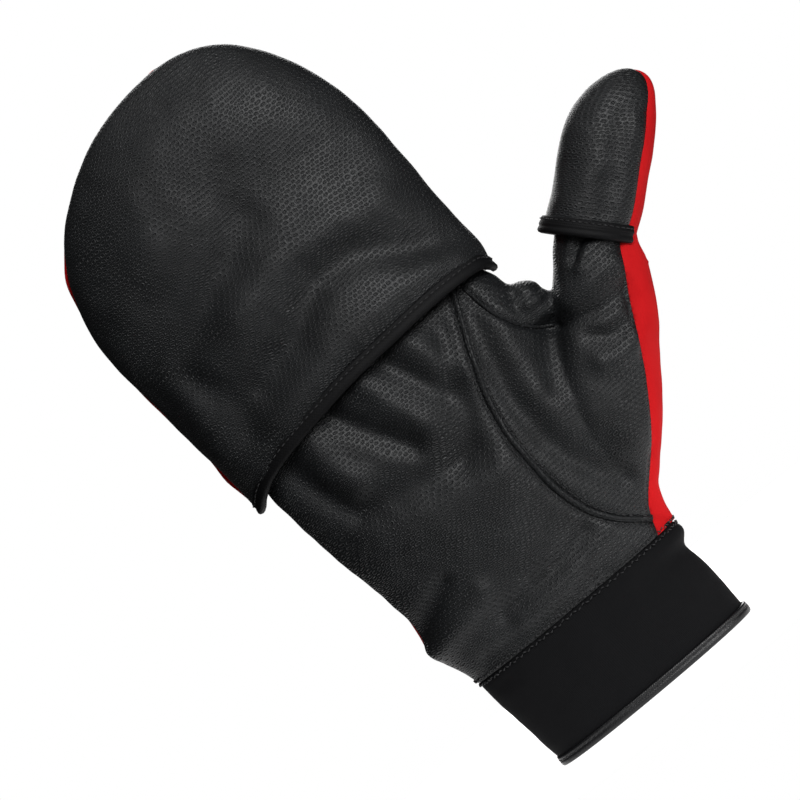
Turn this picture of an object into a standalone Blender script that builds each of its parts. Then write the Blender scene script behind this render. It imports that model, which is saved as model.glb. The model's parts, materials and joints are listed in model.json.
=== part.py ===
"""A right-hand flip-top mitten: a half-finger glove with a hood and a thumb cap that fold back.

Frame: +Z runs from the wrist to the fingertips, the palm faces -Y and the thumb is on +X.
The origin is the middle of the wrist opening, in the plane of the hem.  Lengths are in
millimetres until a mesh is made.
"""
import math

import bmesh
import bpy
from mathutils import Vector

MM = 0.001

# Cloth thicknesses and the clearance left between neighbouring pieces.
PANEL = 1.2
LINING = 1.0
NEOPRENE = 2.2
TAPE = 1.1
GAP = 0.35
LINING_EASE = 0.9
EDGE_SEAM = 0.6

# Heights along the hand.
HEM_HEIGHT = 3.6
CUFF_TOP = 40.0
KNUCKLES = 152.0
HINGE_Z = 150.0
DOME_START = 200.0
TIP_Z = 271.0

# Edges and half depth of the hand, as (height, value).
HAND_LEFT = [(CUFF_TOP, -47.0), (58, -53.0), (72, -51.0), (100, -56.0), (118, -59.5), (138, -60.5),
             (KNUCKLES, -58.0)]
HAND_RIGHT = [(CUFF_TOP, 41.0), (58, 49.0), (79, 52.0), (104, 52.0), (118, 51.5), (143, 47.5),
              (KNUCKLES, 42.0)]
HAND_DEPTH = [(CUFF_TOP, 15.5), (72, 17.0), (118, 17.5), (140, 16.5), (147, 15.0), (KNUCKLES, 12.5)]
CUFF_LEFT = [(HEM_HEIGHT, -41.0), (14, -43.5), (CUFF_TOP, -46.5)]
CUFF_RIGHT = [(HEM_HEIGHT, 40.0), (28, 39.5), (CUFF_TOP, 41.0)]
CUFF_DEPTH = [(0, 15.0), (CUFF_TOP, 15.5)]

# The thumb's own frame: origin at the crotch, its Z along the thumb, its X towards the outer edge.
CROTCH = Vector((51.5, 0.0, 118.0))
THUMB_LEAN = math.radians(47.0)
THUMB_START = -62.0
SLEEVE_TOP = 40.0
THUMB_INNER = [(THUMB_START, 22.0), (-45, 12.0), (-28, 5.0), (0, -1.0), (26, -3.0), (SLEEVE_TOP, -2.8)]
THUMB_OUTER = [(THUMB_START, 34.0), (-45, 42.0), (-28, 40.5), (0, 36.0), (16, 33.0), (26, 27.5), (31, 22.0),
               (SLEEVE_TOP, 21.2)]
THUMB_DEPTH = [(THUMB_START, 4.0), (-45, 12.0), (-28, 14.5), (0, 15.5), (26, 12.5), (31, 10.6),
               (SLEEVE_TOP, 10.0)]

# The thumb cap, in the thumb's frame: a straight sleeve with a domed tip.
CAP_MOUTH = 31.5
CAP_DOME = 60.0
CAP_TIP = 89.5
CAP_CENTRE = [(CAP_MOUTH, 8.4), (45, 9.9), (CAP_DOME, 10.2), (74, 11.8), (CAP_TIP, 16.0)]
CAP_HALF_WIDTH = 16.1
CAP_HALF_DEPTH = 14.0
CAP_TIP_THINNING = 0.82

# Where the back fabric meets the leather, in the thumb's frame: along the thumb's outer edge in
# front, as (along, across), round that edge, and past the crotch to the middle of the hand's depth.
EDGE_STRIP = [(-200, 90.0), (-120, 66.0), (-62, 45.0), (-28, 35.0), (0, 31.0), (16, 28.0), (26, 22.5),
              (31, 17.5), (200, 17.5)]
CAP_STRIP = [(0, 19.5), (45, 21.0), (100, 21.0)]
EDGE_SEAM_FRONT = -7.0
CAP_SEAM_FRONT = -5.0
CROTCH_SEAM_BACK = (-4.0, 10.0)
HAND_SEAM_START = -9.0
CAP_SEAM_END = -10.0
SIDE_SEAM_Y = 1.0
DORSAL_TURN = math.radians(46.0)

# The hood.
HOOD_LEFT = [(131, -66.5), (150, -67.0), (170, -69.5), (DOME_START, -72.5)]
HOOD_RIGHT = [(146, 51.0), (170, 49.0), (DOME_START, 49.0)]
HOOD_DEPTH = [(131, 22.0), (HINGE_Z, 22.0), (DOME_START, 19.0)]
HOOD_TIP_X = 2.0
HOOD_PALM_MOUTH = [(-67, 131.0), (-60, 138.5), (-36, 144.5), (0, 149.5), (28, 150.5), (51, 146.5)]
HOOD_BACK_MOUTH = [(-67, 131.0), (-64, 140.0), (-58, 148.0), (-50, 150.4), (40, 150.4), (47, 149.0),
                   (51, 146.5)]

# Seams of the palm side, as (x, z) points from the knuckles down.
THENAR_SEAM = [(33.5, 160), (32.5, 149), (24, 129), (18, 112), (15, 92), (17, 73), (22, 58), (36, 40),
               (36, 20)]
CROTCH_SEAM = [(35.0, 160), (36, 147.5), (38, 135), (43, 126.5), (49, 122)]
CROTCH_EDGE = [(58, 122), (58, 160)]

# The half-finger stalls, from the index finger to the little finger: (name, middle x, top).
STALLS = [("index", 28.0, 163.0), ("middle", 4.0, 167.0), ("ring", -20.0, 166.0), ("little", -44.0, 161.5)]
STALL_HALF_WIDTH = 10.6
STALL_HALF_DEPTH = 10.5

# Heights of the binding tapes, and how far inside the mouths the linings start.
STALL_TAPE_HEIGHT = 3.0
SLEEVE_TAPE_HEIGHT = 3.4
HOOD_TAPE_HEIGHT = 4.0
CAP_TAPE_HEIGHT = 4.6
HOOD_LINING_RISE = 4.5
CAP_LINING_RISE = 10.0

# Pieces on the back: their heights, and their reach round the ring in degrees.
BAND_ARC = (212, 328)
BAND_LEVELS = (138.0, 143.0, HINGE_Z - GAP)
BAND_THICKNESS = 2.4
PATCH_ARC = (262, 282)
LOOP_LEVELS = (66, 84)
HOOK_LEVELS = (216, 232)
CAP_TAPE_ARC = (-6, 196)

HOOD_HINGE = Vector((0.0, 22.0, HINGE_Z))

# Reach of the cutting solids: across the whole glove, through its depth, and past an open end.
FAR = 220
DEEP = 60.0
PAST_END = 10.0
PAST_LINING_SLEEVE = 8.0

RING_POINTS = 32
ROUNDNESS = 2.2
WELD_DISTANCE = 0.00002


def smooth(stations, at):
    """Read a value from (position, value) stations along a smooth curve through them."""
    if at <= stations[0][0]:
        return stations[0][1]
    if at >= stations[-1][0]:
        return stations[-1][1]
    index = max(i for i, station in enumerate(stations[:-1]) if station[0] <= at)
    (x0, y0), (x1, y1) = stations[index], stations[index + 1]
    slope = (y1 - y0) / (x1 - x0)
    before = stations[index - 1] if index > 0 else None
    after = stations[index + 2] if index + 2 < len(stations) else None
    start = slope if before is None else blended_slope(slope, (y0 - before[1]) / (x0 - before[0]))
    end = slope if after is None else blended_slope(slope, (after[1] - y1) / (after[0] - x1))
    u = (at - x0) / (x1 - x0)
    rise = (x1 - x0) * (start * (u - 2 * u**2 + u**3) + end * (u**3 - u**2))
    return y0 + (y1 - y0) * (3 * u**2 - 2 * u**3) + rise


def blended_slope(first, second):
    """The slope at a shared station: none at a turn, else the harmonic mean, which never overshoots."""
    if first * second <= 0:
        return 0.0
    return 2 * first * second / (first + second)


def superellipse(angle, half_width, half_depth):
    """A point of a rounded-rectangle-like ring; angle 0 is +X and 90 degrees is the palm side, -Y."""
    power = 2 / ROUNDNESS
    c, s = math.cos(angle), math.sin(angle)
    return (math.copysign(abs(c)**power, c) * half_width, -math.copysign(abs(s)**power, s) * half_depth)


def section_point(left, right, depth, level, angle, grow):
    """A point of a section given by edge and depth stations, grown outwards by grow."""
    low, high = smooth(left, level), smooth(right, level)
    x, y = superellipse(angle, (high - low) / 2 + grow, smooth(depth, level) + grow)
    return Vector(((low + high) / 2 + x, y, level))


def hand_point(level, angle, grow=0.0):
    return section_point(HAND_LEFT, HAND_RIGHT, HAND_DEPTH, level, angle, grow)


def cuff_point(level, angle, grow=0.0):
    return section_point(CUFF_LEFT, CUFF_RIGHT, CUFF_DEPTH, level, angle, grow)


def thumb_point(level, angle, grow=0.0):
    return section_point(THUMB_INNER, THUMB_OUTER, THUMB_DEPTH, level, angle, grow)


def dome(level, start, tip):
    """How much of the full width is left at a level of a domed end: 1 at its start, 0 at its tip."""
    u = min(max((level - start) / (tip - start), 0.0), 1.0)
    return max(1 - u**2.3, 0.0)**(1 / 2.1)


def hood_point(level, angle, grow=0.0):
    low, high = smooth(HOOD_LEFT, level), smooth(HOOD_RIGHT, level)
    left = dome(level, DOME_START, TIP_Z + grow)
    middle = (low + high) / 2 * left + HOOD_TIP_X * (1 - left)
    x, y = superellipse(angle, (high - low) / 2 + grow, smooth(HOOD_DEPTH, level) + grow)
    return Vector((middle + x * left, y * left, level))


def cap_point(level, angle, grow=0.0):
    left = dome(level, CAP_DOME, CAP_TIP + grow)
    along = (level - CAP_MOUTH) / (CAP_TIP - CAP_MOUTH)
    depth = CAP_HALF_DEPTH * (1 + (CAP_TIP_THINNING - 1) * along) + grow
    x, y = superellipse(angle, CAP_HALF_WIDTH + grow, depth)
    return Vector((smooth(CAP_CENTRE, level) + x * left, y * left, level))


def spread(start, end, count):
    """Evenly spaced values from start to end, both included."""
    return [start + (end - start) * i / (count - 1) for i in range(count)]


def ring_angles():
    return [math.tau * i / RING_POINTS for i in range(RING_POINTS)]


def make_collection(name):
    collection = bpy.data.collections.new(name)
    bpy.context.scene.collection.children.link(collection)
    return collection


def make_material(name, color, roughness, metallic=0.0):
    material = bpy.data.materials.new(name)
    material.use_nodes = True
    shader = material.node_tree.nodes["Principled BSDF"]
    shader.inputs["Base Color"].default_value = (*color, 1.0)
    shader.inputs["Roughness"].default_value = roughness
    shader.inputs["Metallic"].default_value = metallic
    material.diffuse_color = (*color, 1.0)
    return material


def object_from_bmesh(name, shape, collection, material=None, frame=None):
    """Turn a bmesh in millimetres into a smooth-shaded object, optionally under a parent empty."""
    bmesh.ops.scale(shape, vec=(MM, MM, MM), verts=shape.verts)
    mesh = bpy.data.meshes.new(name)
    shape.to_mesh(mesh)
    shape.free()
    if material is not None:
        mesh.materials.append(material)
    mesh.shade_smooth()
    piece = bpy.data.objects.new(name, mesh)
    collection.objects.link(piece)
    piece.parent = frame
    return piece


def closed_loft(rings):
    """A bmesh solid through rings of equally many points, with flat ends."""
    shape = bmesh.new()
    rows = [[shape.verts.new(point) for point in ring] for ring in rings]
    count = len(rings[0])
    for low, high in zip(rows, rows[1:]):
        for i in range(count):
            shape.faces.new((low[i], low[(i + 1) % count], high[(i + 1) % count], high[i]))
    shape.faces.new(rows[0])
    shape.faces.new(rows[-1])
    bmesh.ops.recalc_face_normals(shape, faces=shape.faces)
    bmesh.ops.triangulate(shape, faces=shape.faces)
    return shape


def looped_loft(rings):
    """A bmesh solid through rings that follow each other round a closed profile."""
    shape = bmesh.new()
    rows = [[shape.verts.new(point) for point in ring] for ring in rings]
    count = len(rings[0])
    for low, high in zip(rows, rows[1:] + rows[:1]):
        for i in range(count):
            shape.faces.new((low[i], low[(i + 1) % count], high[(i + 1) % count], high[i]))
    bmesh.ops.recalc_face_normals(shape, faces=shape.faces)
    return shape


def open_loft(rows, closed=False, tip=False):
    """A bmesh sheet through rows of points; closed joins the ends of each row, tip closes the last row."""
    shape = bmesh.new()
    body = rows[:-1] if tip else rows
    lines = [[shape.verts.new(point) for point in row] for row in body]
    count = len(rows[0])
    last = count if closed else count - 1
    for low, high in zip(lines, lines[1:]):
        for i in range(last):
            shape.faces.new((low[i], low[(i + 1) % count], high[(i + 1) % count], high[i]))
    if tip:
        apex = shape.verts.new(rows[-1][0])
        for i in range(last):
            shape.faces.new((lines[-1][i], lines[-1][(i + 1) % count], apex))
    face_outwards(shape)
    return shape


def face_outwards(shape):
    """Turn a sheet's faces away from its line of middle points."""
    shape.normal_update()
    middle = sum((vert.co for vert in shape.verts), Vector()) / len(shape.verts)
    leaning = sum(face.normal.dot(face.calc_center_median() - middle) * face.calc_area()
                  for face in shape.faces)
    if leaning < 0:
        bmesh.ops.reverse_faces(shape, faces=shape.faces)


def face_towards(shape, direction):
    """Turn a sheet's faces to the back of the hand, direction 1, or to the palm, direction -1."""
    shape.normal_update()
    if sum(face.normal.y for face in shape.faces) * direction < 0:
        bmesh.ops.reverse_faces(shape, faces=shape.faces)


def thicken(piece, thickness, outwards=False):
    modifier = piece.modifiers.new("cloth thickness", "SOLIDIFY")
    modifier.thickness = thickness * MM
    modifier.offset = 1.0 if outwards else -1.0
    modifier.use_even_offset = True
    modifier.use_quality_normals = True


def combine(piece, operation, other):
    modifier = piece.modifiers.new(f"{operation.lower()} {other.name}", "BOOLEAN")
    modifier.operation = operation
    modifier.solver = "EXACT"
    modifier.object = other


def weld(piece):
    """Join the doubled points that a row of cuts can leave."""
    modifier = piece.modifiers.new("weld", "WELD")
    modifier.merge_threshold = WELD_DISTANCE


def make_cutter(name, shape, collection, frame=None):
    cutter = object_from_bmesh(name, shape, collection, frame=frame)
    cutter.hide_render = True
    cutter.display_type = "WIRE"
    return cutter


def make_frame(name, location, collection, lean=0.0):
    """An empty that carries pieces; location is in millimetres."""
    frame = bpy.data.objects.new(name, None)
    collection.objects.link(frame)
    frame.location = location * MM
    frame.rotation_euler = (0.0, lean, 0.0)
    return frame


# ---------------------------------------------------------------- solids that panels are cut from

def hand_rings(grow, low, high):
    levels = sorted({low, high, *(z for z in (58, 72, 88, 104, 118, 132, 143, 148) if low < z < high)})
    return [[hand_point(min(max(level, CUFF_TOP), KNUCKLES), angle, grow).xy.to_3d() + Vector((0, 0, level))
             for angle in ring_angles()] for level in levels]


def thumb_rings(grow, low, high):
    levels = sorted({low, high, *(t for t in (-54, -45, -28, -12, 0, 16, 26, 31) if low < t < high)})
    return [[thumb_point(level, angle, grow) for angle in ring_angles()] for level in levels]


def glove_solids(tag, grow, low, high, thumb_high, cutters, thumb_frame):
    """The filled forms of the hand and the thumb at one offset from the outer surface."""
    hand = make_cutter(f"hand_{tag}", closed_loft(hand_rings(grow, low, high)), cutters)
    thumb = make_cutter(f"thumb_{tag}", closed_loft(thumb_rings(grow, THUMB_START - grow, thumb_high)),
                        cutters, thumb_frame)
    return hand, thumb


def seam_region(name, behind, grow, cutters, thumb_frame):
    """Everything on one side of the seam round the glove's edge: behind it, or on the palm's side of it.

    On the hand the seam lies in the middle of the glove's depth; on the thumb it runs along the
    thumb's outer edge in front and near the crotch behind, because the thumb is turned outwards.
    """
    side = SIDE_SEAM_Y - grow
    rings = []
    for level, strip in EDGE_STRIP:
        edge = strip - grow
        crotch_x, crotch_y = CROTCH_SEAM_BACK
        seam = [(edge, -DEEP), (edge, EDGE_SEAM_FRONT - grow), (crotch_x, crotch_y - 3 * grow),
                (HAND_SEAM_START + 2 * grow, side), (-FAR, side)]
        rest = [(-FAR, DEEP), (FAR, DEEP), (FAR, -DEEP)] if behind else [(-FAR, -DEEP)]
        rings.append([Vector((x, y, level)) for x, y in seam + rest])
    return make_cutter(name, closed_loft(rings), cutters, thumb_frame)


def plan_region(name, outline, cutters):
    """A prism through the whole depth of the glove over an outline of (x, z) points."""
    rings = [[Vector((x, y, z)) for x, z in outline] for y in (-DEEP, DEEP)]
    return make_cutter(name, closed_loft(rings), cutters)


def shifted(points, dx):
    return [(x + dx, z) for x, z in points]


def copy_of(solid, name, material, collection):
    """An object of the model that starts as a copy of a cutting solid."""
    mesh = solid.data.copy()
    mesh.name = name
    mesh.materials.append(material)
    piece = bpy.data.objects.new(name, mesh)
    collection.objects.link(piece)
    return piece


def make_glove_shell(name, material, collection, solids):
    """The hollow shell of hand and thumb together, as one object ready to be cut into panels."""
    (hand, thumb), (hand_inside, thumb_inside) = solids
    shell = copy_of(hand, name, material, collection)
    combine(shell, "UNION", thumb)
    combine(shell, "DIFFERENCE", hand_inside)
    combine(shell, "DIFFERENCE", thumb_inside)
    weld(shell)
    return shell


# ---------------------------------------------------------------- the glove

def make_panels(materials, collection, cutters, thumb_frame):
    low, high = CUFF_TOP + GAP, KNUCKLES
    outer = glove_solids("outer", 0.0, low, high, SLEEVE_TOP, cutters, thumb_frame)
    inner = glove_solids("inner", -PANEL, low - PAST_END, high + PAST_END, SLEEVE_TOP + PAST_END, cutters,
                         thumb_frame)
    behind = seam_region("back_side", True, 0.0, cutters, thumb_frame)
    before = seam_region("front_side", False, GAP, cutters, thumb_frame)
    thumb_side = plan_region("thumb_side", THENAR_SEAM + [(FAR, 20), (FAR, 170)] + CROTCH_EDGE[::-1]
                             + CROTCH_SEAM[::-1], cutters)
    palm_side = plan_region("palm_side", shifted(THENAR_SEAM, -GAP) + [(-FAR, 20), (-FAR, 160)], cutters)
    web_side = plan_region("web_side", shifted(CROTCH_SEAM, GAP) + shifted(CROTCH_EDGE, -GAP), cutters)

    back_panel = make_glove_shell("back_panel", materials["softshell"], collection, (outer, inner))
    combine(back_panel, "INTERSECT", behind)
    weld(back_panel)
    for name, region in (("palm_panel", palm_side), ("thumb_panel", thumb_side)):
        panel = make_glove_shell(name, materials["leather"], collection, (outer, inner))
        combine(panel, "INTERSECT", before)
        combine(panel, "INTERSECT", region)
        weld(panel)

    thumb_clear = make_cutter("thumb_and_gap", closed_loft(thumb_rings(GAP, THUMB_START, SLEEVE_TOP)),
                              cutters, thumb_frame)
    gusset = copy_of(outer[0], "crotch_gusset", materials["leather"], collection)
    combine(gusset, "DIFFERENCE", inner[0])
    combine(gusset, "DIFFERENCE", thumb_clear)
    combine(gusset, "INTERSECT", before)
    combine(gusset, "INTERSECT", web_side)
    weld(gusset)


def make_lining(materials, collection, cutters, thumb_frame):
    low, high = CUFF_TOP + 1, KNUCKLES - 2
    start = -PANEL - GAP
    outer = glove_solids("lining_outer", start, low, high, SLEEVE_TOP - 3, cutters, thumb_frame)
    inner = glove_solids("lining_inner", start - LINING, low - PAST_END, high + PAST_END,
                         SLEEVE_TOP + PAST_LINING_SLEEVE, cutters, thumb_frame)
    make_glove_shell("hand_lining", materials["fleece"], collection, (outer, inner))


def make_cuff(materials, collection):
    levels = spread(TAPE + 2 * GAP, CUFF_TOP, 5)
    rows = [[cuff_point(level, angle) for angle in ring_angles()] for level in levels]
    cuff = object_from_bmesh("cuff", open_loft(rows, closed=True), collection, materials["neoprene"])
    thicken(cuff, NEOPRENE)

    near = 2 * GAP
    far = near + TAPE
    inside = -NEOPRENE
    profile = [(far, 0), (far, HEM_HEIGHT), (near, HEM_HEIGHT), (near, TAPE),
               (inside - near, TAPE), (inside - near, HEM_HEIGHT), (inside - far, HEM_HEIGHT),
               (inside - far, 0)]
    rings = [[cuff_point(0, angle, grow) + Vector((0, 0, level)) for angle in ring_angles()]
             for grow, level in profile]
    object_from_bmesh("cuff_hem_binding", looped_loft(rings), collection, materials["hem"])


def make_stalls(materials, collection):
    base = KNUCKLES + GAP
    for name, middle, top in STALLS:
        def row(level, grow):
            return [Vector((middle + x, y, level)) for x, y in
                    (superellipse(angle, STALL_HALF_WIDTH + grow, STALL_HALF_DEPTH + grow)
                     for angle in ring_angles()[::2])]
        stall = object_from_bmesh(f"{name}_stall", open_loft([row(base, 0), row(top, 0)], closed=True),
                                  collection, materials["knit"])
        thicken(stall, PANEL)
        tape_rows = [row(top - STALL_TAPE_HEIGHT, GAP / 2), row(top, GAP / 2)]
        tape_rows = [[point + (point - Vector((middle, 0, point.z))).normalized() * GAP for point in line]
                     for line in tape_rows]
        tape = object_from_bmesh(f"{name}_stall_binding", open_loft(tape_rows, closed=True),
                                 collection, materials["tape"])
        thicken(tape, TAPE / 2, outwards=True)


def make_thumb_stall_binding(materials, collection, thumb_frame):
    rows = [[thumb_point(level, angle, GAP) for angle in ring_angles()]
            for level in (SLEEVE_TOP - SLEEVE_TAPE_HEIGHT, SLEEVE_TOP)]
    tape = object_from_bmesh("thumb_stall_binding", open_loft(rows, closed=True), collection,
                             materials["tape"], thumb_frame)
    thicken(tape, TAPE / 2, outwards=True)


def make_patch(name, rows, thickness, material, collection, frame=None):
    """A small piece lying on the back of the hand, on its outer side."""
    shape = open_loft(rows)
    face_towards(shape, 1)
    patch = object_from_bmesh(name, shape, collection, material, frame)
    thicken(patch, thickness, outwards=True)
    return patch


def make_back_trim(materials, collection):
    """The band that the hood is sewn to, and the loop patch that the folded hood sticks to."""
    band = [[hand_point(level, math.radians(angle), GAP) for angle in spread(*BAND_ARC, 13)]
            for level in BAND_LEVELS]
    make_patch("hood_base_band", band, BAND_THICKNESS, materials["softshell"], collection)
    loop = [[hand_point(level, math.radians(angle), GAP) for angle in spread(*PATCH_ARC, 5)]
            for level in spread(*LOOP_LEVELS, 3)]
    make_patch("loop_patch", loop, TAPE, materials["patch"], collection)


# ---------------------------------------------------------------- the hood

def hood_rows(angles, mouth, grow, rise=0.0, rows=10, gap=0.0):
    """Rows of a hood sheet from rise above its mouth to the tip; gap moves it off the side seam."""
    top = TIP_Z + grow
    table = []
    for step in spread(0, math.pi / 2, rows):
        line = []
        for angle in angles:
            foot = smooth(mouth, hood_point(HINGE_Z, angle).x) + rise
            point = hood_point(foot + (top - foot) * math.sin(step), angle, grow)
            point.y += gap
            line.append(point)
        table.append(line)
    return table


def make_hood(materials, collection):
    hinge = make_frame("hood_hinge", HOOD_HINGE, collection)

    def place(piece):
        piece.location = -HOOD_HINGE * MM

    front = [math.radians(angle) for angle in spread(0, 180, 19)]
    rear = [math.radians(angle) for angle in spread(180, 360, 19)]
    palm_sheet = open_loft(hood_rows(front, HOOD_PALM_MOUTH, 0, gap=-EDGE_SEAM), tip=True)
    palm = object_from_bmesh("hood_palm", palm_sheet, collection, materials["leather"], hinge)
    back_sheet = open_loft(hood_rows(rear, HOOD_BACK_MOUTH, 0, gap=EDGE_SEAM), tip=True)
    back = object_from_bmesh("hood_back", back_sheet, collection, materials["softshell"], hinge)
    for piece in (palm, back):
        thicken(piece, PANEL)
        place(piece)

    around = [math.radians(angle) for angle in spread(0, 350, 36)]
    inset = -PANEL - LINING_EASE
    shape = open_loft(hood_rows(around, HOOD_BACK_MOUTH, inset, HOOD_LINING_RISE), closed=True, tip=True)
    lining = object_from_bmesh("hood_lining", shape, collection, materials["fleece"], hinge)
    thicken(lining, LINING)
    place(lining)

    def tape_row(rise):
        line = []
        for angle in front:
            foot = smooth(HOOD_PALM_MOUTH, hood_point(HINGE_Z, angle).x)
            point = hood_point(foot + rise, angle, GAP)
            point.y -= EDGE_SEAM
            line.append(point)
        return line

    shape = open_loft([tape_row(0), tape_row(HOOD_TAPE_HEIGHT)])
    face_towards(shape, -1)
    tape = object_from_bmesh("hood_binding", shape, collection, materials["tape"], hinge)
    thicken(tape, TAPE, outwards=True)
    place(tape)

    rows = [[hood_point(level, math.radians(angle), GAP) + Vector((0, EDGE_SEAM, 0))
             for angle in spread(*PATCH_ARC, 5)] for level in spread(*HOOK_LEVELS, 3)]
    place(make_patch("hook_patch", rows, TAPE, materials["patch"], collection, hinge))


# ---------------------------------------------------------------- the thumb cap

def cap_hinge_place():
    """The cap's hinge in the thumb's frame: where the back of its mouth touches the thumb's back."""
    angle = -DORSAL_TURN
    point = cap_point(CAP_MOUTH, angle)
    return Vector((point.x, point.y, CAP_MOUTH))


def make_thumb_cap(materials, collection, cutters, thumb_frame):
    place = cap_hinge_place()
    hinge = make_frame("thumb_cap_hinge", place, collection)
    hinge.parent = thumb_frame

    def cap_shell(name, grow, low, thickness, material, rows=8):
        top = CAP_TIP + grow
        levels = [low + (top - low) * math.sin(step) for step in spread(0, math.pi / 2, rows)]
        table = [[cap_point(level, angle, grow) for angle in ring_angles()] for level in levels]
        piece = object_from_bmesh(name, open_loft(table, closed=True, tip=True), collection, material, hinge)
        piece.location = -place * MM
        thicken(piece, thickness)
        return piece

    def strip_region(name, grow):
        rings = []
        for level, strip in CAP_STRIP:
            edge = strip - grow
            crotch_x, crotch_y = CROTCH_SEAM_BACK
            outline = [(edge, -DEEP), (edge, CAP_SEAM_FRONT - grow), (crotch_x - grow, crotch_y - grow),
                       (CAP_SEAM_END - grow, DEEP), (CAP_TIP, DEEP), (CAP_TIP, -DEEP)]
            rings.append([Vector((x, y, level)) for x, y in outline])
        return make_cutter(name, closed_loft(rings), cutters, thumb_frame)

    palm = cap_shell("thumb_cap_palm", 0.0, CAP_MOUTH, PANEL, materials["leather"])
    combine(palm, "DIFFERENCE", strip_region("cap_back_side_and_gap", GAP))
    back = cap_shell("thumb_cap_back", 0.0, CAP_MOUTH, PANEL, materials["softshell"])
    combine(back, "INTERSECT", strip_region("cap_back_side", 0.0))
    cap_shell("thumb_cap_lining", -PANEL - LINING_EASE, CAP_MOUTH + CAP_LINING_RISE, LINING / 2,
              materials["fleece"])

    front = [math.radians(angle) for angle in spread(*CAP_TAPE_ARC, 17)]
    shape = open_loft([[cap_point(level, angle, GAP) for angle in front]
                       for level in (CAP_MOUTH, CAP_MOUTH + CAP_TAPE_HEIGHT)])
    tape = object_from_bmesh("thumb_cap_binding", shape, collection, materials["tape"], hinge)
    tape.location = -place * MM
    thicken(tape, TAPE, outwards=True)


def make_materials():
    return {
        "leather": make_material("leather", (0.018, 0.020, 0.022), 0.45),
        "softshell": make_material("softshell", (0.55, 0.008, 0.010), 0.80),
        "neoprene": make_material("neoprene", (0.004, 0.004, 0.005), 0.75),
        "hem": make_material("hem_tape", (0.012, 0.013, 0.015), 0.40),
        "tape": make_material("binding_tape", (0.004, 0.004, 0.005), 0.70),
        "fleece": make_material("fleece", (0.012, 0.012, 0.013), 0.95),
        "knit": make_material("stall_knit", (0.008, 0.008, 0.009), 0.90),
        "patch": make_material("hook_and_loop", (0.006, 0.006, 0.007), 0.90),
    }


def main():
    for old in list(bpy.data.objects):
        bpy.data.objects.remove(old, do_unlink=True)
    collection = make_collection("flip_top_mitten")
    cutters = make_collection("cutters")
    materials = make_materials()
    thumb_frame = make_frame("thumb_frame", CROTCH, collection, THUMB_LEAN)
    make_panels(materials, collection, cutters, thumb_frame)
    make_lining(materials, collection, cutters, thumb_frame)
    make_cuff(materials, collection)
    make_stalls(materials, collection)
    make_thumb_stall_binding(materials, collection, thumb_frame)
    make_back_trim(materials, collection)
    make_hood(materials, collection)
    make_thumb_cap(materials, collection, cutters, thumb_frame)


main()
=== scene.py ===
"""The looks of a right-hand flip-top mitten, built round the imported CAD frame.

Lengths below are in millimetres in the frame's own axes (+Z to the fingertips, palm facing -Y,
thumb on +X) and become metres when a mesh is made.  "Plan" coordinates are (x, z) on the palm.
"""
import json
import math

import bmesh
import bpy
import numpy as np
from mathutils import Matrix, Vector, noise
from mathutils.bvhtree import BVHTree


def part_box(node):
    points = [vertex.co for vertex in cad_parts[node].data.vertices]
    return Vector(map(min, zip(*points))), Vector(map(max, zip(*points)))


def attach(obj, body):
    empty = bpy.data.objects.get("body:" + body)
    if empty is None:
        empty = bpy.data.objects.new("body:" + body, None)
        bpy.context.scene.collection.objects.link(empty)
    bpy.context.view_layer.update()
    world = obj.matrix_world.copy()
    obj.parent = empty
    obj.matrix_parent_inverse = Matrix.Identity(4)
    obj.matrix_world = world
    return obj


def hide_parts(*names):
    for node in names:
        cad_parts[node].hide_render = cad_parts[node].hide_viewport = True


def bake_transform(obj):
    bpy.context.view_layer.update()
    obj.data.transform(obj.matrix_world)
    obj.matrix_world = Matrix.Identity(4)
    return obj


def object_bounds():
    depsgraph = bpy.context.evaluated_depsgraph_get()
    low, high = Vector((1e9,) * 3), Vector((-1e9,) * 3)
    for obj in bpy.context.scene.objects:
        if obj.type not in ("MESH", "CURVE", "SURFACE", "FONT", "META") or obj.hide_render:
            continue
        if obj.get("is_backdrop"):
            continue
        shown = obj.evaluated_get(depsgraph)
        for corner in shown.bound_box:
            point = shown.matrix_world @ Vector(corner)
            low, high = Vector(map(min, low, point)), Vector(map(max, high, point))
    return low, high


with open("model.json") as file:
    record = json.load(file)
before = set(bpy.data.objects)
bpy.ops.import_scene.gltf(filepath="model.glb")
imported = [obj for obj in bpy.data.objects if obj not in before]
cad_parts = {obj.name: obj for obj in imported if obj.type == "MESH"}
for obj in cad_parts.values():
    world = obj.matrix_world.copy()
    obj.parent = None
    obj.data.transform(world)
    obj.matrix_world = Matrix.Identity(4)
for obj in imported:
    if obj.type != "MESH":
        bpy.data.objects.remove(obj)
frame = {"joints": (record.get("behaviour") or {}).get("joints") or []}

MM = 0.001
CAD_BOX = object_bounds()
JOINTS = {joint["name"]: joint for joint in frame["joints"]}


def corner(node, index):
    """The lowest (0) or highest (1) corner of a CAD node, in millimetres."""
    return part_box(node)[index] / MM


# ------------------------------------------------------------------ sizes

# Levels and hinges taken from the frame.
CUFF_TOP = corner("palm_panel", 0).z
KNUCKLES = corner("palm_panel", 1).z
TIP_Z = corner("hood_palm", 1).z
HEM_HEIGHT = corner("cuff_hem_binding", 1).z
HOOD_HINGE = Vector(JOINTS["hood_flip"]["pos_m"]) / MM
CAP_HINGE = Vector(JOINTS["thumb_cap_flip"]["pos_m"]) / MM
CAP_AXIS = Vector(JOINTS["thumb_cap_flip"]["axis"]).normalized()

# Thickness of the cloths, radius of the thread, and how far in each lining lies.
LEATHER = 1.1
TAPE = 1.3
THREAD = 0.24
LINING = 0.6
LINING_IN = 2.5
HOOD_LINING = 0.8
HOOD_LINING_IN = 2.4
CAP_LINING = 0.5
CAP_LINING_IN = 2.9

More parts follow.
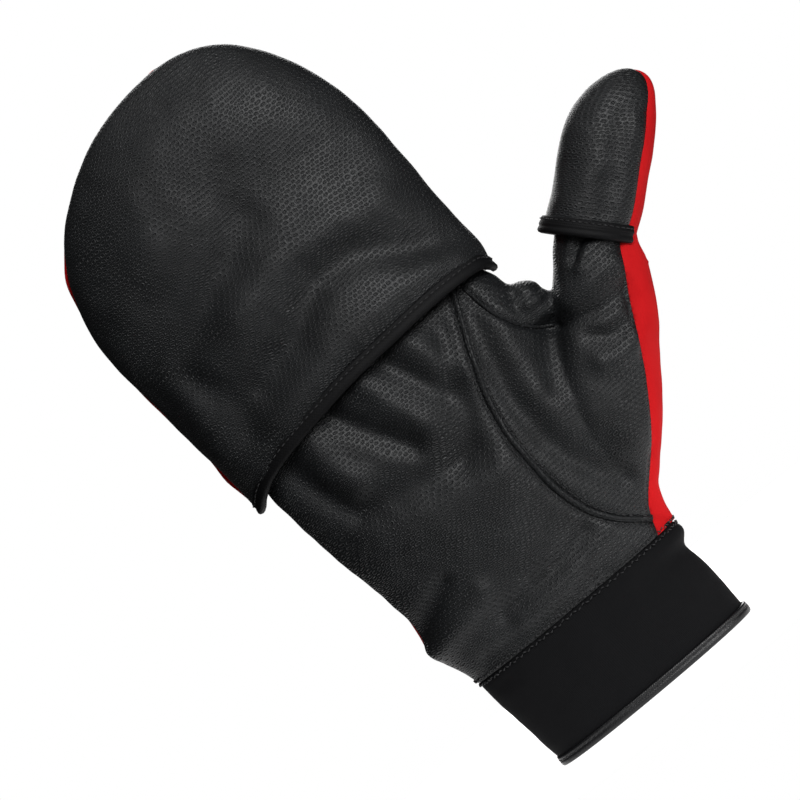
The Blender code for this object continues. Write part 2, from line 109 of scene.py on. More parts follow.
# Edges and half depth of the hand, as (height, value).
HAND_LEFT = [(30, -46.0), (CUFF_TOP, -46.6), (50, -50.0), (60, -53.6), (68, -51.6), (74, -51.2),
             (100, -56.0), (118, -59.0), (138, -60.5), (KNUCKLES, -57.5)]
HAND_RIGHT = [(30, 38.5), (CUFF_TOP, 41.0), (50, 42.8), (58, 47.5), (79, 52.0), (104, 52.0),
              (118, 50.5), (143, 47.5), (KNUCKLES, 42.0)]
HAND_DEPTH = [(30, 14.5), (CUFF_TOP, 15.2), (72, 16.8), (118, 17.2), (140, 16.2), (147, 14.6),
              (KNUCKLES, 12.0)]
HAND_LEVELS = (30, 36, CUFF_TOP, 46, 53, 60, 66, 72, 84, 100, 118, 132, 143, 148, KNUCKLES)

CUFF_LEFT = [(0, -41.0), (14, -43.3), (CUFF_TOP, -46.4)]
CUFF_RIGHT = [(0, 40.0), (20, 39.4), (31, 38.3), (37, 40.6), (CUFF_TOP, 40.4)]
CUFF_DEPTH = [(0, 14.8), (26, 15.0), (CUFF_TOP, 15.2)]
CUFF_GIRTH = 230.0
NEOPRENE = 2.0

# The thumb's own frame: origin at the crotch, Z along the thumb, X towards its outer edge.
CROTCH = Vector((51.5, 0.0, 118.0))
THUMB_LEAN = math.radians(47.0)
THUMB_FRAME = Matrix.Translation(CROTCH) @ Matrix.Rotation(THUMB_LEAN, 4, "Y")
THUMB_INNER = [(-62, 22.0), (-45, 12.0), (-28, 5.0), (0, -0.6), (14, -2.0), (26, -3.4), (44, -3.0)]
THUMB_OUTER = [(-62, 36.0), (-52, 43.4), (-44, 42.2), (-26, 41.0), (-10, 38.6), (6, 35.4),
               (18, 32.2), (26, 29.4), (32, 25.2), (44, 21.6)]
THUMB_DEPTH = [(-62, 5.0), (-45, 12.0), (-28, 14.5), (0, 15.2), (24, 13.6), (31, 11.2), (44, 10.0)]
THUMB_LEVELS = (-62, -54, -45, -36, -28, -12, 0, 8, 16, 21, 25, 28, 31, 36, 44)
SLEEVE_TOP = 40.0
# Beyond this x the skin is the thumb's and not the hand's.
THUMB_FROM_X = 60.0

# The gathered web between hand and thumb.
WEB_CENTRE = Vector((49.6, 0.0, 128.0))
WEB_RADII = (8.0, 9.5, 9.5)

# Half-finger stalls, from index to little finger, placed on their CAD nodes.
STALL_NAMES = ("index", "middle", "ring", "little")
STALL_HALF = (10.6, 10.5)
# A stall's rings, as (height, share of its size).  The last is that far over its top, to be cut off.
STALL_RINGS = [(138, 0.8), (146, 1.0)]
STALL_END = (4.0, 0.97)
STALL_SEAM = KNUCKLES - 3.0

# The skin is melted into one surface at this grain and then smoothed.
VOXEL = 1.15
SOFTEN = 0.6
SOFTEN_ROUNDS = 9

# The thumb cap, in the thumb's frame.
CAP_MOUTH = 31.5
CAP_DOME = 58.0
CAP_TIP = 89.5
CAP_CENTRE = [(20, 8.2), (CAP_MOUTH, 8.4), (45, 9.9), (CAP_DOME, 10.2), (74, 11.8), (CAP_TIP, 16.0)]
CAP_HALF_WIDTH = 16.0
CAP_HALF_DEPTH = 14.0
CAP_THINNING = 0.18
# Between these ring angles the cap is leather; the rest of it is red.
CAP_FIRST = math.radians(42)
CAP_LAST = math.radians(224)
CAP_TAPE_HEIGHT = 4.8
# How far the cap's red back runs down onto the thumb, and how it settles onto the sleeve.
FOOT_REACH = 9.0
FOOT_OVER = 0.7
FOOT_TUCK = 1.5
FOOT_BLEND = 6.0

# The hood's edges and half depth, up to where its dome begins.
HOOD_DOME = 200.0
HOOD_TIP_X = 2.0
HOOD_LEFT = [(131, -64.4), (137, -66.0), (150, -67.0), (170, -69.3), (HOOD_DOME, -72.4)]
HOOD_RIGHT = [(140, 46.6), (147, 48.4), (156, 50.2), (170, 49.4), (HOOD_DOME, 49.0)]
HOOD_DEPTH = [(131, 21.8), (150, 21.8), (HOOD_DOME, 18.8)]
HOOD_BACK_EDGE = 150.4
# The hood's edge all round, as (ring angle in degrees, height).
HOOD_MOUTH = [(0, 145.6), (12, 147.2), (25, 149.3), (54, 150.4), (84, 149.0), (116, 144.6),
              (140, 140.4), (155, 136.4), (167, 133.8), (180, 133.0), (194, 134.2), (208, 138.6),
              (222, 144.8), (238, 149.4), (256, HOOD_BACK_EDGE), (318, HOOD_BACK_EDGE),
              (336, 149.0), (350, 146.8), (360, 145.6)]
# Where the leather palm and the red back of the hood meet, and how far the tape runs, in degrees.
HOOD_PALM_ARC = (-6, 180)
HOOD_BACK_ARC = (180, 354)
HOOD_TAPE_ARC = (-34, 226)
HOOD_TAPE_HEIGHT = 4.1

# The flap of red fabric that carries the hood: its foot, its ends, and its half depth by its drop.
FLAP_FOOT = 139.0
FLAP_LEFT = -54.0
FLAP_RIGHT = 43.0
FLAP_EASE = 6.0
FLAP_DEPTH = [(0, 21.0), (4, 20.4), (8, 18.9), (12, 18.3)]
FLAP_OVER = 0.9
# Its line of stitches: which row of the flap, and from where to where.
SEWN_ROW = 2
SEWN_LEFT = -47.0
SEWN_RIGHT = 36.0

# Two places on the red fabric, before and after its hinge; they are handed to dress as a bend, which does
# not bend it.
HOOD_BEND = (-4.5, 2.0)
CAP_BEND = (-3.5, 2.0)

# Seams of the palm side, as plan points from the knuckles down.
THENAR_SEAM = [(34, 162), (32.3, 149), (27, 137), (22, 125), (17.6, 112), (15.2, 96), (15.6, 80),
               (18.5, 66), (24, 56), (34.5, 46), (39, 40), (41, 30)]
CROTCH_SEAM = [(34.5, 162), (35.6, 147), (37.3, 136), (41, 127.5), (46.4, 121), (51.5, 117.6)]
CROTCH_SEAM_FOOT = 116.0
# Where the gusset begins: its height, and how far it keeps from the thumb's inner edge.
GUSSET_FOOT = 118.5
GUSSET_GAP = 1.2

# The seam between palm side and red back, in the thumb's frame.  Outside, it is the inner edge of
# the red strip; on the back it rises from the inner side to a crown; on the hand it lies low.
EDGE_STRIP = [(-200, 90.0), (-120, 66.0), (-66, 43.5), (-56, 39.3), (-36, 37.6), (-15, 33.2),
              (0, 28.2), (10, 24.6), (20, 21.6), (31, 18.5), (60, 18.0)]
STRIP_END = 60.0
INNER_ACROSS = -12.0
INNER_Y = 2.5
CROWN_ACROSS = -4.0
CROWN_Y = 10.0
STRIP_Y = -7.0
THUMB_ROOT = -20.0
HAND_BELOW = -45.0
HAND_SEAM_Y = -3.0

# Seams sunk in the skin, each (half width, depth).
THENAR_GROOVE = (2.2, 1.5)
CROTCH_GROOVE = (1.4, 1.3)
EDGE_GROOVE = (1.1, 0.7)

# The power of the superellipse that every ring follows.
ROUNDNESS = 2.2

# Unevenness of worn cloth, in layers of (height, size, seed).
SKIN_UNEVEN = [(0.55, 17, 1), (0.22, 6.5, 2)]
CUFF_UNEVEN = [(0.55, 15, 5), (0.18, 5, 6)]
PATCH_UNEVEN = [(0.12, 2.0, 8)]
HOOD_UNEVEN = [(1.0, 34, 11), (0.3, 9, 12)]
HOOD_TAPE_UNEVEN = [(0.25, 9, 21)]
CAP_LEATHER_UNEVEN = [(0.35, 12, 31), (0.12, 5, 32)]
CAP_BACK_UNEVEN = [(0.35, 12, 34), (0.12, 5, 35)]
CAP_TAPE_UNEVEN = [(0.2, 7, 41)]

# Soft folds, each (plan points, half width, height); a negative height is a valley.
PALM_FOLDS = [
    ([(-50, 139), (-47, 126), (-41, 112)], 4.8, -2.3),
    ([(-38, 142), (-37.5, 130), (-34, 120)], 5.5, 2.2),
    ([(-27, 144), (-20, 131), (-12, 117)], 4.2, -2.6),
    ([(-12, 146), (-8, 133), (-3, 120)], 5.0, 2.2),
    ([(-2, 147), (3, 136), (8, 124)], 3.8, -1.8),
    ([(8, 149), (12, 138), (18, 126)], 5.0, 1.7),
    ([(21, 142), (14, 127), (8, 113), (-2, 103)], 4.6, -1.9),
    ([(-34, 110), (-14, 105), (3, 101)], 6.0, -1.9),
    ([(-40, 96), (-18, 92), (4, 90)], 11.0, 1.9),
    ([(-56, 64), (-46, 69), (-34, 75)], 3.6, -2.4),
    ([(-56, 57), (-42, 60), (-26, 64)], 4.5, 1.8),
    ([(-24, 54), (-4, 55), (14, 59)], 4.0, -1.7),
    ([(-20, 48), (2, 49), (22, 53)], 4.0, 1.3),
    ([(-38, 45), (-14, 43), (10, 43)], 3.0, -0.9),
    ([(-6, 76), (4, 84), (8, 92)], 9.0, 1.2),
]
THENAR_FOLDS = [
    ([(32, 140), (27.5, 124), (24, 106), (24.5, 90), (29, 76), (36, 64)], 4.6, -2.4),
    ([(39, 132), (36, 120), (33, 106)], 5.0, 1.2),
    ([(40, 96), (44, 84), (47, 72)], 12.0, 2.4),
    ([(49, 118), (43, 110), (38, 102)], 4.2, -1.4),
    ([(54, 117), (62, 114), (70, 112), (79, 112)], 3.4, -2.3),
    ([(58, 108), (65, 103), (71, 103), (77, 108)], 3.2, -1.5),
    ([(56, 98), (64, 95), (71, 97)], 4.0, 1.8),
    ([(60, 122), (70, 122), (80, 121)], 4.0, 1.4),
    ([(70, 131), (77, 134.4), (81, 133.4)], 1.5, -2.2),
    ([(70, 127.5), (77, 130.5), (84, 129)], 2.0, 1.0),
    ([(50, 60), (44, 66), (40, 76)], 4.0, -0.8),
]
GUSSET_FOLDS = [
    ([(47, 134), (50, 131.5), (56, 130)], 1.8, -1.0),
    ([(48, 126), (52, 125.5), (57, 127)], 1.8, -0.9),
    ([(49, 129), (52, 129), (55, 129)], 1.5, 0.6),
]
BACK_FOLDS = [
    ([(-48, 96), (-10, 102), (30, 98)], 6.0, -0.8),
    ([(-40, 60), (-5, 56), (30, 60)], 5.0, -1.1),
    ([(-30, 50), (0, 48), (26, 50)], 4.0, 0.8),
    ([(60, 100), (70, 106), (84, 104)], 4.0, -1.0),
    ([(20, 130), (34, 118), (50, 112)], 5.0, -1.0),
]
HOOD_FOLDS = [
    ([(-56, 148), (-30, 154), (0, 159), (26, 159.5), (40, 158)], 6.5, 2.0),
    ([(-38, 166), (-18, 171), (0, 181), (14, 180), (28, 171), (42, 163)], 6.5, -2.6),
    ([(-10, 168), (8, 170), (20, 168)], 7.0, 0.9),
    ([(-30, 189), (0, 194), (34, 188)], 8.0, 2.0),
    ([(-66, 184), (-45, 192), (-25, 203), (-6, 213)], 7.5, -2.2),
    ([(-66, 208), (-54, 215), (-38, 224)], 8.0, 1.6),
    ([(-8, 222), (14, 218), (34, 210)], 9.0, -1.0),
    ([(-30, 242), (0, 248), (26, 240)], 13.0, 1.2),
    ([(-50, 154), (-48, 166), (-54, 180)], 5.5, -1.6),
    ([(-62, 156), (-60, 170), (-62, 186)], 5.0, 1.2),
]
HOOD_BACK_FOLDS = [
    ([(-50, 166), (-10, 172), (36, 165)], 7.0, -1.2),
    ([(-40, 190), (0, 197), (34, 192)], 9.0, 0.9),
    ([(-56, 214), (-20, 208), (20, 214)], 8.0, -0.9),
]
# On the cap the plan is (across, along) in the thumb's frame.
CAP_FOLDS = [
    ([(17.5, 38), (18.5, 52), (19, 70)], 3.2, 0.9),
    ([(12, 40), (12.5, 56), (14, 72)], 4.0, -0.8),
    ([(0, 42), (4, 50), (10, 55)], 4.0, 0.6),
]


# ------------------------------------------------------------------ curves and sections

def ease(share):
    """A share from 0 to 1, made to start and stop gently."""
    return share * share * (3 - 2 * share)


def bell(distance, width):
    """1 at no distance, falling off smoothly over a width."""
    return np.exp(-(distance / width)**2)


def unit(vectors):
    """Vectors made one long."""
    return vectors / np.maximum(np.linalg.norm(vectors, axis=-1, keepdims=True), 1e-9)


def smooth(stations, at):
    """Read values from (position, value) stations along a smooth curve that never overshoots."""
    x = np.array([station[0] for station in stations], float)
    y = np.array([station[1] for station in stations], float)
    step = np.diff(x)
    slope = np.diff(y) / step
    product = slope[:-1] * slope[1:]
    total = slope[:-1] + slope[1:]
    inner = np.where(product > 0, 2 * product / np.where(np.abs(total) < 1e-9, 1, total), 0)
    tangent = np.concatenate([slope[:1], inner, slope[-1:]])
    at = np.clip(np.asarray(at, float), x[0], x[-1])
    i = np.clip(np.searchsorted(x, at, side="right") - 1, 0, len(step) - 1)
    u = (at - x[i]) / step[i]
    bend = tangent[i] * (u - 2 * u**2 + u**3) + tangent[i + 1] * (u**3 - u**2)
    return y[i] + (y[i + 1] - y[i]) * ease(u) + step[i] * bend


def ring_angles(count=64):
    return np.linspace(0, math.tau, count + 1)[:-1]


def arc(ends, count):
    """Ring angles in radians between two given in degrees."""
    return np.linspace(math.radians(ends[0]), math.radians(ends[1]), count)


def towards_tip(count):
    """Shares from 0 to 1 that crowd together at 1, where a dome closes."""
    return np.sin(np.linspace(0, math.pi / 2, count))


def superellipse(angle, half_width, half_depth):
    """Ring points; angle 0 is +X and 90 degrees is the palm side, -Y."""
    power = 2 / ROUNDNESS
    c, s = np.cos(angle), np.sin(angle)
    x = np.sign(c) * np.abs(c)**power * half_width
    y = -np.sign(s) * np.abs(s)**power * half_depth
    return x, y


def section(left, right, depth, level, angle, grow=0.0, share=1.0, middle=0.0):
    """Ring points at a level; a share below 1 draws them in to a middle x, for a dome."""
    low, high = smooth(left, level), smooth(right, level)
    x, y = superellipse(angle, (high - low) / 2 + grow, smooth(depth, level) + grow)
    centre = (low + high) / 2 * share + middle * (1 - share)
    return np.stack([centre + x * share, y * share, level + 0 * x], -1)


def dome(level, start, tip):
    """The share of the full width left at a level of a domed end."""
    u = np.clip((level - start) / (tip - start), 0, 1)
    return np.maximum(1 - u**2.3, 0)**(1 / 2.1)


def hand_point(level, angle):
    return section(HAND_LEFT, HAND_RIGHT, HAND_DEPTH, level, angle)


def hood_point(level, angle, grow=0.0):
    share = dome(level, HOOD_DOME, TIP_Z + grow)
    return section(HOOD_LEFT, HOOD_RIGHT, HOOD_DEPTH, level, angle, grow, share, HOOD_TIP_X)


def cuff_point(level, angle, grow=0.0):
    return section(CUFF_LEFT, CUFF_RIGHT, CUFF_DEPTH, level, angle, grow)


def thumb_point(level, angle, grow=0.0):
    """A point of the bare thumb, in the thumb's frame."""
    return section(THUMB_INNER, THUMB_OUTER, THUMB_DEPTH, level, angle, grow)


def cap_point(level, angle, grow=0.0):
    """A point of the thumb cap, in the thumb's frame."""
    share = dome(level, CAP_DOME, CAP_TIP + grow)
    depth = CAP_HALF_DEPTH * (1 - CAP_THINNING * (level - CAP_MOUTH) / (CAP_TIP - CAP_MOUTH)) + grow
    x, y = superellipse(angle, CAP_HALF_WIDTH + grow, depth)
    return np.stack([smooth(CAP_CENTRE, level) + x * share, y * share, level + 0 * x], -1)


def in_frame(matrix, points):
    """Points moved by a matrix, in millimetres."""
    m = np.array(matrix)
    return points @ m[:3, :3].T + m[:3, 3]


def to_thumb(points):
    return in_frame(THUMB_FRAME.inverted(), points)


def reach_along(points):
    """The distance from the first point to each, along a row of points."""
    return np.concatenate([[0], np.cumsum(np.linalg.norm(np.diff(points, axis=0), axis=1))])


def line_distance(x, z, points):
    """The distance of plan points from a line through a few points."""
    best = np.full(np.shape(x), np.inf)
    for (x0, z0), (x1, z1) in zip(points, points[1:]):
        dx, dz = x1 - x0, z1 - z0
        t = np.clip(((x - x0) * dx + (z - z0) * dz) / (dx * dx + dz * dz), 0, 1)
        best = np.minimum(best, np.hypot(x - x0 - t * dx, z - z0 - t * dz))
    return best


def rounded_line(points, count):
    """Points evenly spaced along a smooth curve through a few points of any dimension."""
    points = np.array(points, float)
    reach = reach_along(points)
    at = np.linspace(0, reach[-1], count)
    return np.stack([smooth(list(zip(reach, column)), at) for column in points.T], -1)


def fold_heights(x, z, folds):
    """The height of a set of folds at each plan point."""
    total = np.zeros(np.shape(x))
    for points, width, height in folds:
        total += height * bell(line_distance(x, z, rounded_line(points, 12)), width)
    return total


def noise_field(points, size, seed):
    """Smooth noise of about that size, between -1 and 1, at each point."""
    shift = Vector((seed * 17.3, seed * 5.1, seed * 9.7))
    flat = points.reshape(-1, 3) / size
    values = np.array([noise.noise(Vector(p) + shift) for p in flat])
    return values.reshape(points.shape[:-1])


def unevenness(points, layers):
    return sum(height * noise_field(points, size, seed) for height, size, seed in layers)


def facing(normals, side, steepness):
    """How far each normal faces the palm side (-1) or the back (+1), from 0 to 1."""
    return np.clip(side * normals[..., 1] * steepness, 0, 1)


# ------------------------------------------------------------------ meshes

def make_mesh(name, points, faces, plan=None):
    """A mesh object in metres, with a UV map called metric in metres."""
    mesh = bpy.data.meshes.new(name)
    mesh.from_pydata((np.asarray(points) * MM).tolist(), [], faces)
    mesh.update()
    layer = mesh.uv_layers.new(name="metric")
    plan = np.asarray(points)[:, [0, 2]] if plan is None else np.asarray(plan)
    loops = np.zeros(len(mesh.loops), np.int32)
    mesh.loops.foreach_get("vertex_index", loops)
    layer.data.foreach_set("uv", (plan[loops] * MM).astype(np.float32).ravel())
    mesh.shade_smooth()
    piece = bpy.data.objects.new(name, mesh)
    bpy.context.scene.collection.objects.link(piece)
    return piece


def grid_faces(rows, columns, closed, looped=False):
    """The quads of a grid of points; closed joins each row's ends, looped the first and last row."""
    width = columns if closed else columns - 1
    height = rows if looped else rows - 1
    faces = []
    for r in range(height):
        low, high = r * columns, (r + 1) % rows * columns
        faces += [(low + c, low + (c + 1) % columns, high + (c + 1) % columns, high + c)
                  for c in range(width)]
    return faces


def end_faces(rows, columns):
    """The two faces that close a tube at its first and last row."""
    return [tuple(range(columns))[::-1], tuple(range((rows - 1) * columns, rows * columns))]


def grid_normals(points, closed):
    """Unit normals of a grid of points, facing out for rows that run as ring angles do."""
    if closed:
        along_row = np.roll(points, -1, axis=1) - np.roll(points, 1, axis=1)
    else:
        along_row = np.gradient(points, axis=1)
    return unit(np.cross(np.gradient(points, axis=0), along_row))


def row_plan(points):
    """Plan coordinates for cloth: arc length across each row from its middle, and height."""
    steps = np.linalg.norm(np.diff(points, axis=1), axis=-1)
    reach = np.concatenate([np.zeros((len(points), 1)), np.cumsum(steps, axis=1)], axis=1)
    middle = points.shape[1] // 2
    across = reach - reach[:, middle:middle + 1] + points[:, middle:middle + 1, 0]
    return np.stack([across, points[..., 2]], -1).reshape(-1, 2)


def thicken(piece, thickness):
    """Give cloth its thickness, on the inside."""
    modifier = piece.modifiers.new("cloth", "SOLIDIFY")
    modifier.thickness = thickness * MM
    modifier.offset = -1.0
    modifier.use_even_offset = False


def make_grid(name, points, thickness=LEATHER, closed=False, plan=None):
    """A sheet of cloth through a grid of points."""
    faces = [face[::-1] for face in grid_faces(*points.shape[:2], closed)]
    plan = row_plan(points) if plan is None else plan
    piece = make_mesh(name, points.reshape(-1, 3), faces, plan)
    face_away_from_axis(piece)
    thicken(piece, thickness)
    return piece


def face_away_from_axis(piece):
    """Turn an open sheet's faces away from its middle."""
    shape = bmesh.new()
    shape.from_mesh(piece.data)
    shape.normal_update()
    middle = sum((vert.co for vert in shape.verts), Vector()) / len(shape.verts)
    lean = sum(face.normal.dot(face.calc_center_median() - middle) * face.calc_area()
               for face in shape.faces)
    if lean < 0:
        bmesh.ops.reverse_faces(shape, faces=shape.faces)
    shape.to_mesh(piece.data)
    shape.free()


def make_strip(name, points, faces, path, profile):
    """A solid of rows of profile points along a path, its plan measured along and around."""
    rows, count = points.shape[:2]
    plan = np.stack([np.repeat(reach_along(path), count), np.tile(reach_along(profile), rows)], -1)
    piece = make_mesh(name, points.reshape(-1, 3), faces, plan)
    shape = bmesh.new()
    shape.from_mesh(piece.data)
    bmesh.ops.recalc_face_normals(shape, faces=shape.faces)
    shape.to_mesh(piece.data)
    shape.free()
    return piece


def sweep(name, path, normals, profile):
    """A solid of one closed profile of (out, side) points carried along a path.

    Out is the path's normal; side is across the path in the surface, to the left of its run."""
    run = unit(np.gradient(path, axis=0))
    side = unit(np.cross(normals, run))
    out = np.cross(run, side)
    profile = np.array(profile)
    points = path[:, None] + out[:, None] * profile[:, :1] + side[:, None] * profile[:, 1:]
    rows, count = points.shape[:2]
    faces = grid_faces(rows, count, True) + end_faces(rows, count)
    return make_strip(name, points, faces, path, profile)


def upright_ring(name, ring, out, profile):
    """A band of an (out, up) profile carried round a closed ring."""
    profile = np.array(profile)
    points = ring[:, None] + out[:, None] * profile[:, :1]
    points[..., 2] = ring[:, None, 2] + profile[:, 1]
    faces = grid_faces(*points.shape[:2], True, looped=True)
    return make_strip(name, points, faces, ring, profile)


# One stitch, as (share of its length from its middle, share of the thread's radius, rise).
STITCH = [(-0.5, 0.35, -0.35), (-0.3, 0.95, 0.0), (0.0, 1.0, 0.12), (0.3, 0.95, 0.0), (0.5, 0.35, -0.35)]
STITCH_LIFT = 0.05
THREAD_SIDES = 6


def sew(name, body, path, normals, pitch=2.6, length=1.9, thread="thread"):
    """One row of short thread stitches lying along a path."""
    reach = reach_along(path)
    shares = np.array([share for share, _, _ in STITCH])
    rounds = ring_angles(THREAD_SIDES)

    def at(s, table):
        return np.stack([np.interp(s, reach, column) for column in table.T], -1)

    rings, faces = [], []
    tube = grid_faces(len(STITCH), THREAD_SIDES, True) + end_faces(len(STITCH), THREAD_SIDES)
    for i in range(int(reach[-1] / pitch)):
        middle = (i + 0.5) * pitch
        line = at(middle + shares * length, path)
        out = unit(at(middle, normals))
        side = np.cross(out, unit(line[-1] - line[0]))
        start = len(rings) * THREAD_SIDES
        for centre, (_, size, rise) in zip(line, STITCH):
            spokes = np.cos(rounds)[:, None] * out + np.sin(rounds)[:, None] * side
            rings.append(centre + out * (STITCH_LIFT + rise) + THREAD * size * spokes)
        faces += [tuple(start + k for k in face) for face in tube]
    stitches = make_mesh(name, np.concatenate(rings), faces)
    dress(stitches, body, "binding_tape", material=thread)


def closed_loft(rings):
    """A closed bmesh solid in metres through rings of points."""
    shape = bmesh.new()
    rows = [[shape.verts.new(Vector(point) * MM) for point in ring] for ring in rings]
    count = len(rings[0])
    for low, high in zip(rows, rows[1:]):
        for i in range(count):
            shape.faces.new((low[i], low[(i + 1) % count], high[(i + 1) % count], high[i]))
    shape.faces.new(rows[0])
    shape.faces.new(rows[-1])
    bmesh.ops.recalc_face_normals(shape, faces=shape.faces)
    return shape


def dress(piece, body, slot, *nodes, material=None, bend=None):
    """Give a piece the material of its slot, hide the CAD nodes it stands in for, and hang it on its body.
    Given a bend, its place is baked into its mesh instead and it hangs on no body; the bend's two places do
    nothing more."""
    piece.data.materials.append(MATERIALS[material or slot])
    if nodes:
        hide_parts(*nodes)
    if bend:
        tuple(bend[0])
        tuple(bend[1])
        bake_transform(piece)
    else:
        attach(piece, body)


def bend_places(hinge, along, reach):
    """Two places in metres, before and after a hinge."""
    return [(hinge + at * along.normalized()) * MM for at in reach]


# ------------------------------------------------------------------ the glove's one skin

def stall_places():
    """The name, middle x and top of each half-finger stall, from its CAD node."""
    places = []
    for name in STALL_NAMES:
        low, high = corner(f"{name}_stall", 0), corner(f"{name}_stall", 1)
        places.append((name, (low.x + high.x) / 2, high.z))
    return places


def nearest_stall(x):
    """The index of the stall whose middle is nearest to each x."""
    middles = np.array([middle for _, middle, _ in stall_places()])
    return np.argmin(np.abs(x[:, None] - middles), axis=1)


def body_solids():
    """The hand, the thumb, the stalls and the gathered web at the crotch, as closed solids."""
    angles = ring_angles()
    yield closed_loft([hand_point(z, angles) for z in HAND_LEVELS])
    yield closed_loft([in_frame(THUMB_FRAME, thumb_point(t, angles)) for t in THUMB_LEVELS])
    x, y = superellipse(angles, *STALL_HALF)
    over, end_share = STALL_END
    for _, middle, top in stall_places():
        rings = STALL_RINGS + [(top + over, end_share)]
        yield closed_loft([np.stack([middle + x * share, y * share, z + 0 * x], -1) for z, share in rings])
    web = bmesh.new()
    bmesh.ops.create_uvsphere(web, u_segments=24, v_segments=16, radius=MM)
    bmesh.ops.scale(web, vec=WEB_RADII, verts=web.verts)
    bmesh.ops.translate(web, vec=WEB_CENTRE * MM, verts=web.verts)
    yield web


def joined_solids():
    """One mesh that holds all of the body's solids."""
    joined = bmesh.new()
    for shape in body_solids():
        part = bpy.data.meshes.new("part")
        shape.to_mesh(part)
        shape.free()
        joined.from_mesh(part)
        bpy.data.meshes.remove(part)
    mesh = bpy.data.meshes.new("skin")
    joined.to_mesh(mesh)
    joined.free()
    return mesh


def one_skin():
    """All solids of the glove melted into one smooth closed surface, in millimetres."""
    skin = bpy.data.objects.new("skin", joined_solids())
    bpy.context.scene.collection.objects.link(skin)
    remesh = skin.modifiers.new("melt", "REMESH")
    remesh.mode = "VOXEL"
    remesh.voxel_size = VOXEL * MM
    soften = skin.modifiers.new("soften", "SMOOTH")
    soften.factor = SOFTEN
    soften.iterations = SOFTEN_ROUNDS
    result = bpy.data.meshes.new_from_object(skin.evaluated_get(bpy.context.evaluated_depsgraph_get()))
    bpy.data.objects.remove(skin)
    shape = bmesh.new()
    shape.from_mesh(result)
    bpy.data.meshes.remove(result)
    bmesh.ops.scale(shape, vec=(1 / MM,) * 3, verts=shape.verts)
    return shape


def points_of(shape):
    return np.array([vert.co for vert in shape.verts])


# Each seam is the line on which a field of the points is zero.

def edge_seam(points):
    """Above zero behind the glove's edge seam, where the red fabric is."""
    across, y, along = to_thumb(points).T
    strip = smooth(EDGE_STRIP, along)
    rise = np.clip((across - INNER_ACROSS) / (CROWN_ACROSS - INNER_ACROSS), 0, 1)
    fall = np.clip((across - CROWN_ACROSS) / (strip - CROWN_ACROSS), 0, 1)
    on_thumb = np.where(across < CROWN_ACROSS, INNER_Y + (CROWN_Y - INNER_Y) * rise,
                        CROWN_Y + (STRIP_Y - CROWN_Y) * fall)
    on_hand = np.clip((THUMB_ROOT - along) / (THUMB_ROOT - HAND_BELOW), 0, 1)
    seam_y = on_thumb * (1 - on_hand) + HAND_SEAM_Y * on_hand * (across > 0)
    return np.maximum(y - seam_y, np.where(along < STRIP_END, across - strip, -1.0))


def seam_side(points, seam):
    """How far plan points lie to the right of a seam that runs down the palm."""
    line = sorted((z, x) for x, z in seam)
    return points[:, 0] - smooth(line, points[:, 2])


def thenar_side(points):
    return seam_side(points, THENAR_SEAM)


def web_side(points):
    """Above zero on the gathered gusset between the hand and the thumb."""
    gap = -GUSSET_GAP - to_thumb(points)[:, 0]
    return np.minimum(np.minimum(seam_side(points, CROTCH_SEAM), gap), points[:, 2] - GUSSET_FOOT)


def stall_root(points):
    """Above zero on the finger stalls."""
    return points[:, 2] - STALL_SEAM


# How fast folds take over from one side or panel to the next, in millimetres or as a steepness.
GLOVE_FACING = 1.6
POCKET_FACING = 1.5
THENAR_CHANGE = 3.0
GUSSET_CHANGE = 2.0
GUSSET_SHARE = 0.6
WRIST_FADE = 5.0


def shape_folds(shape):
    """Press folds, seams and the unevenness of worn cloth into the skin."""
    shape.normal_update()
    points = points_of(shape)
    normals = np.array([vert.normal for vert in shape.verts])
    x, z = points[:, 0], points[:, 2]
    front = facing(normals, -1, GLOVE_FACING)
    back = facing(normals, 1, GLOVE_FACING)
    thenar = thenar_side(points)
    on_thumb = np.clip(thenar / THENAR_CHANGE, 0, 1)
    on_gusset = np.clip(web_side(points) / GUSSET_CHANGE + GUSSET_SHARE, 0, 1)
    rise = fold_heights(x, z, PALM_FOLDS) * front * (1 - on_thumb)
    rise += fold_heights(x, z, THENAR_FOLDS) * front * on_thumb
    rise += fold_heights(x, z, GUSSET_FOLDS) * on_gusset
    rise += fold_heights(x, z, BACK_FOLDS) * back
    rise += unevenness(points, SKIN_UNEVEN)
    rise *= np.clip((z - CUFF_TOP) / WRIST_FADE, 0, 1)
    grooves = [
        (thenar, THENAR_GROOVE, front),
        (seam_side(points, CROTCH_SEAM), CROTCH_GROOVE, front * (z > CROTCH_SEAM_FOOT)),
        (edge_seam(points), EDGE_GROOVE, 1),
    ]
    for distance, (width, depth), share in grooves:
        rise -= depth * bell(distance, width) * share
    for vert, co in zip(shape.verts, points + normals * rise[:, None]):
        vert.co = co


def split_along(shape, field):
    """Cut the skin's faces along the line where a field of the points is zero."""
    values = field(points_of(shape))
    values = np.where(np.abs(values) < 1e-4, 1e-4, values)
    table = {vert: float(value) for vert, value in zip(shape.verts, values)}
    fresh = []
    for edge in list(shape.edges):
        a, b = edge.verts
        if table[a] * table[b] < 0:
            _, vert = bmesh.utils.edge_split(edge, a, table[a] / (table[a] - table[b]))
            table[vert] = 0.0
            fresh.append(vert)
    for face in dict.fromkeys(face for vert in fresh for face in vert.link_faces):
        ends = [vert for vert in face.verts if table[vert] == 0.0]
        if len(ends) == 2 and not shape.edges.get(ends):
            bmesh.utils.face_split(face, ends[0], ends[1])


def face_centres(shape):
    return np.array([face.calc_center_median() for face in shape.faces])


def cut_off(shape, field):
    """Remove what lies where a field of the points is above zero."""
    split_along(shape, field)
    gone = [face for face, value in zip(shape.faces, field(face_centres(shape))) if value > 0]
    bmesh.ops.delete(shape, geom=gone, context="FACES")


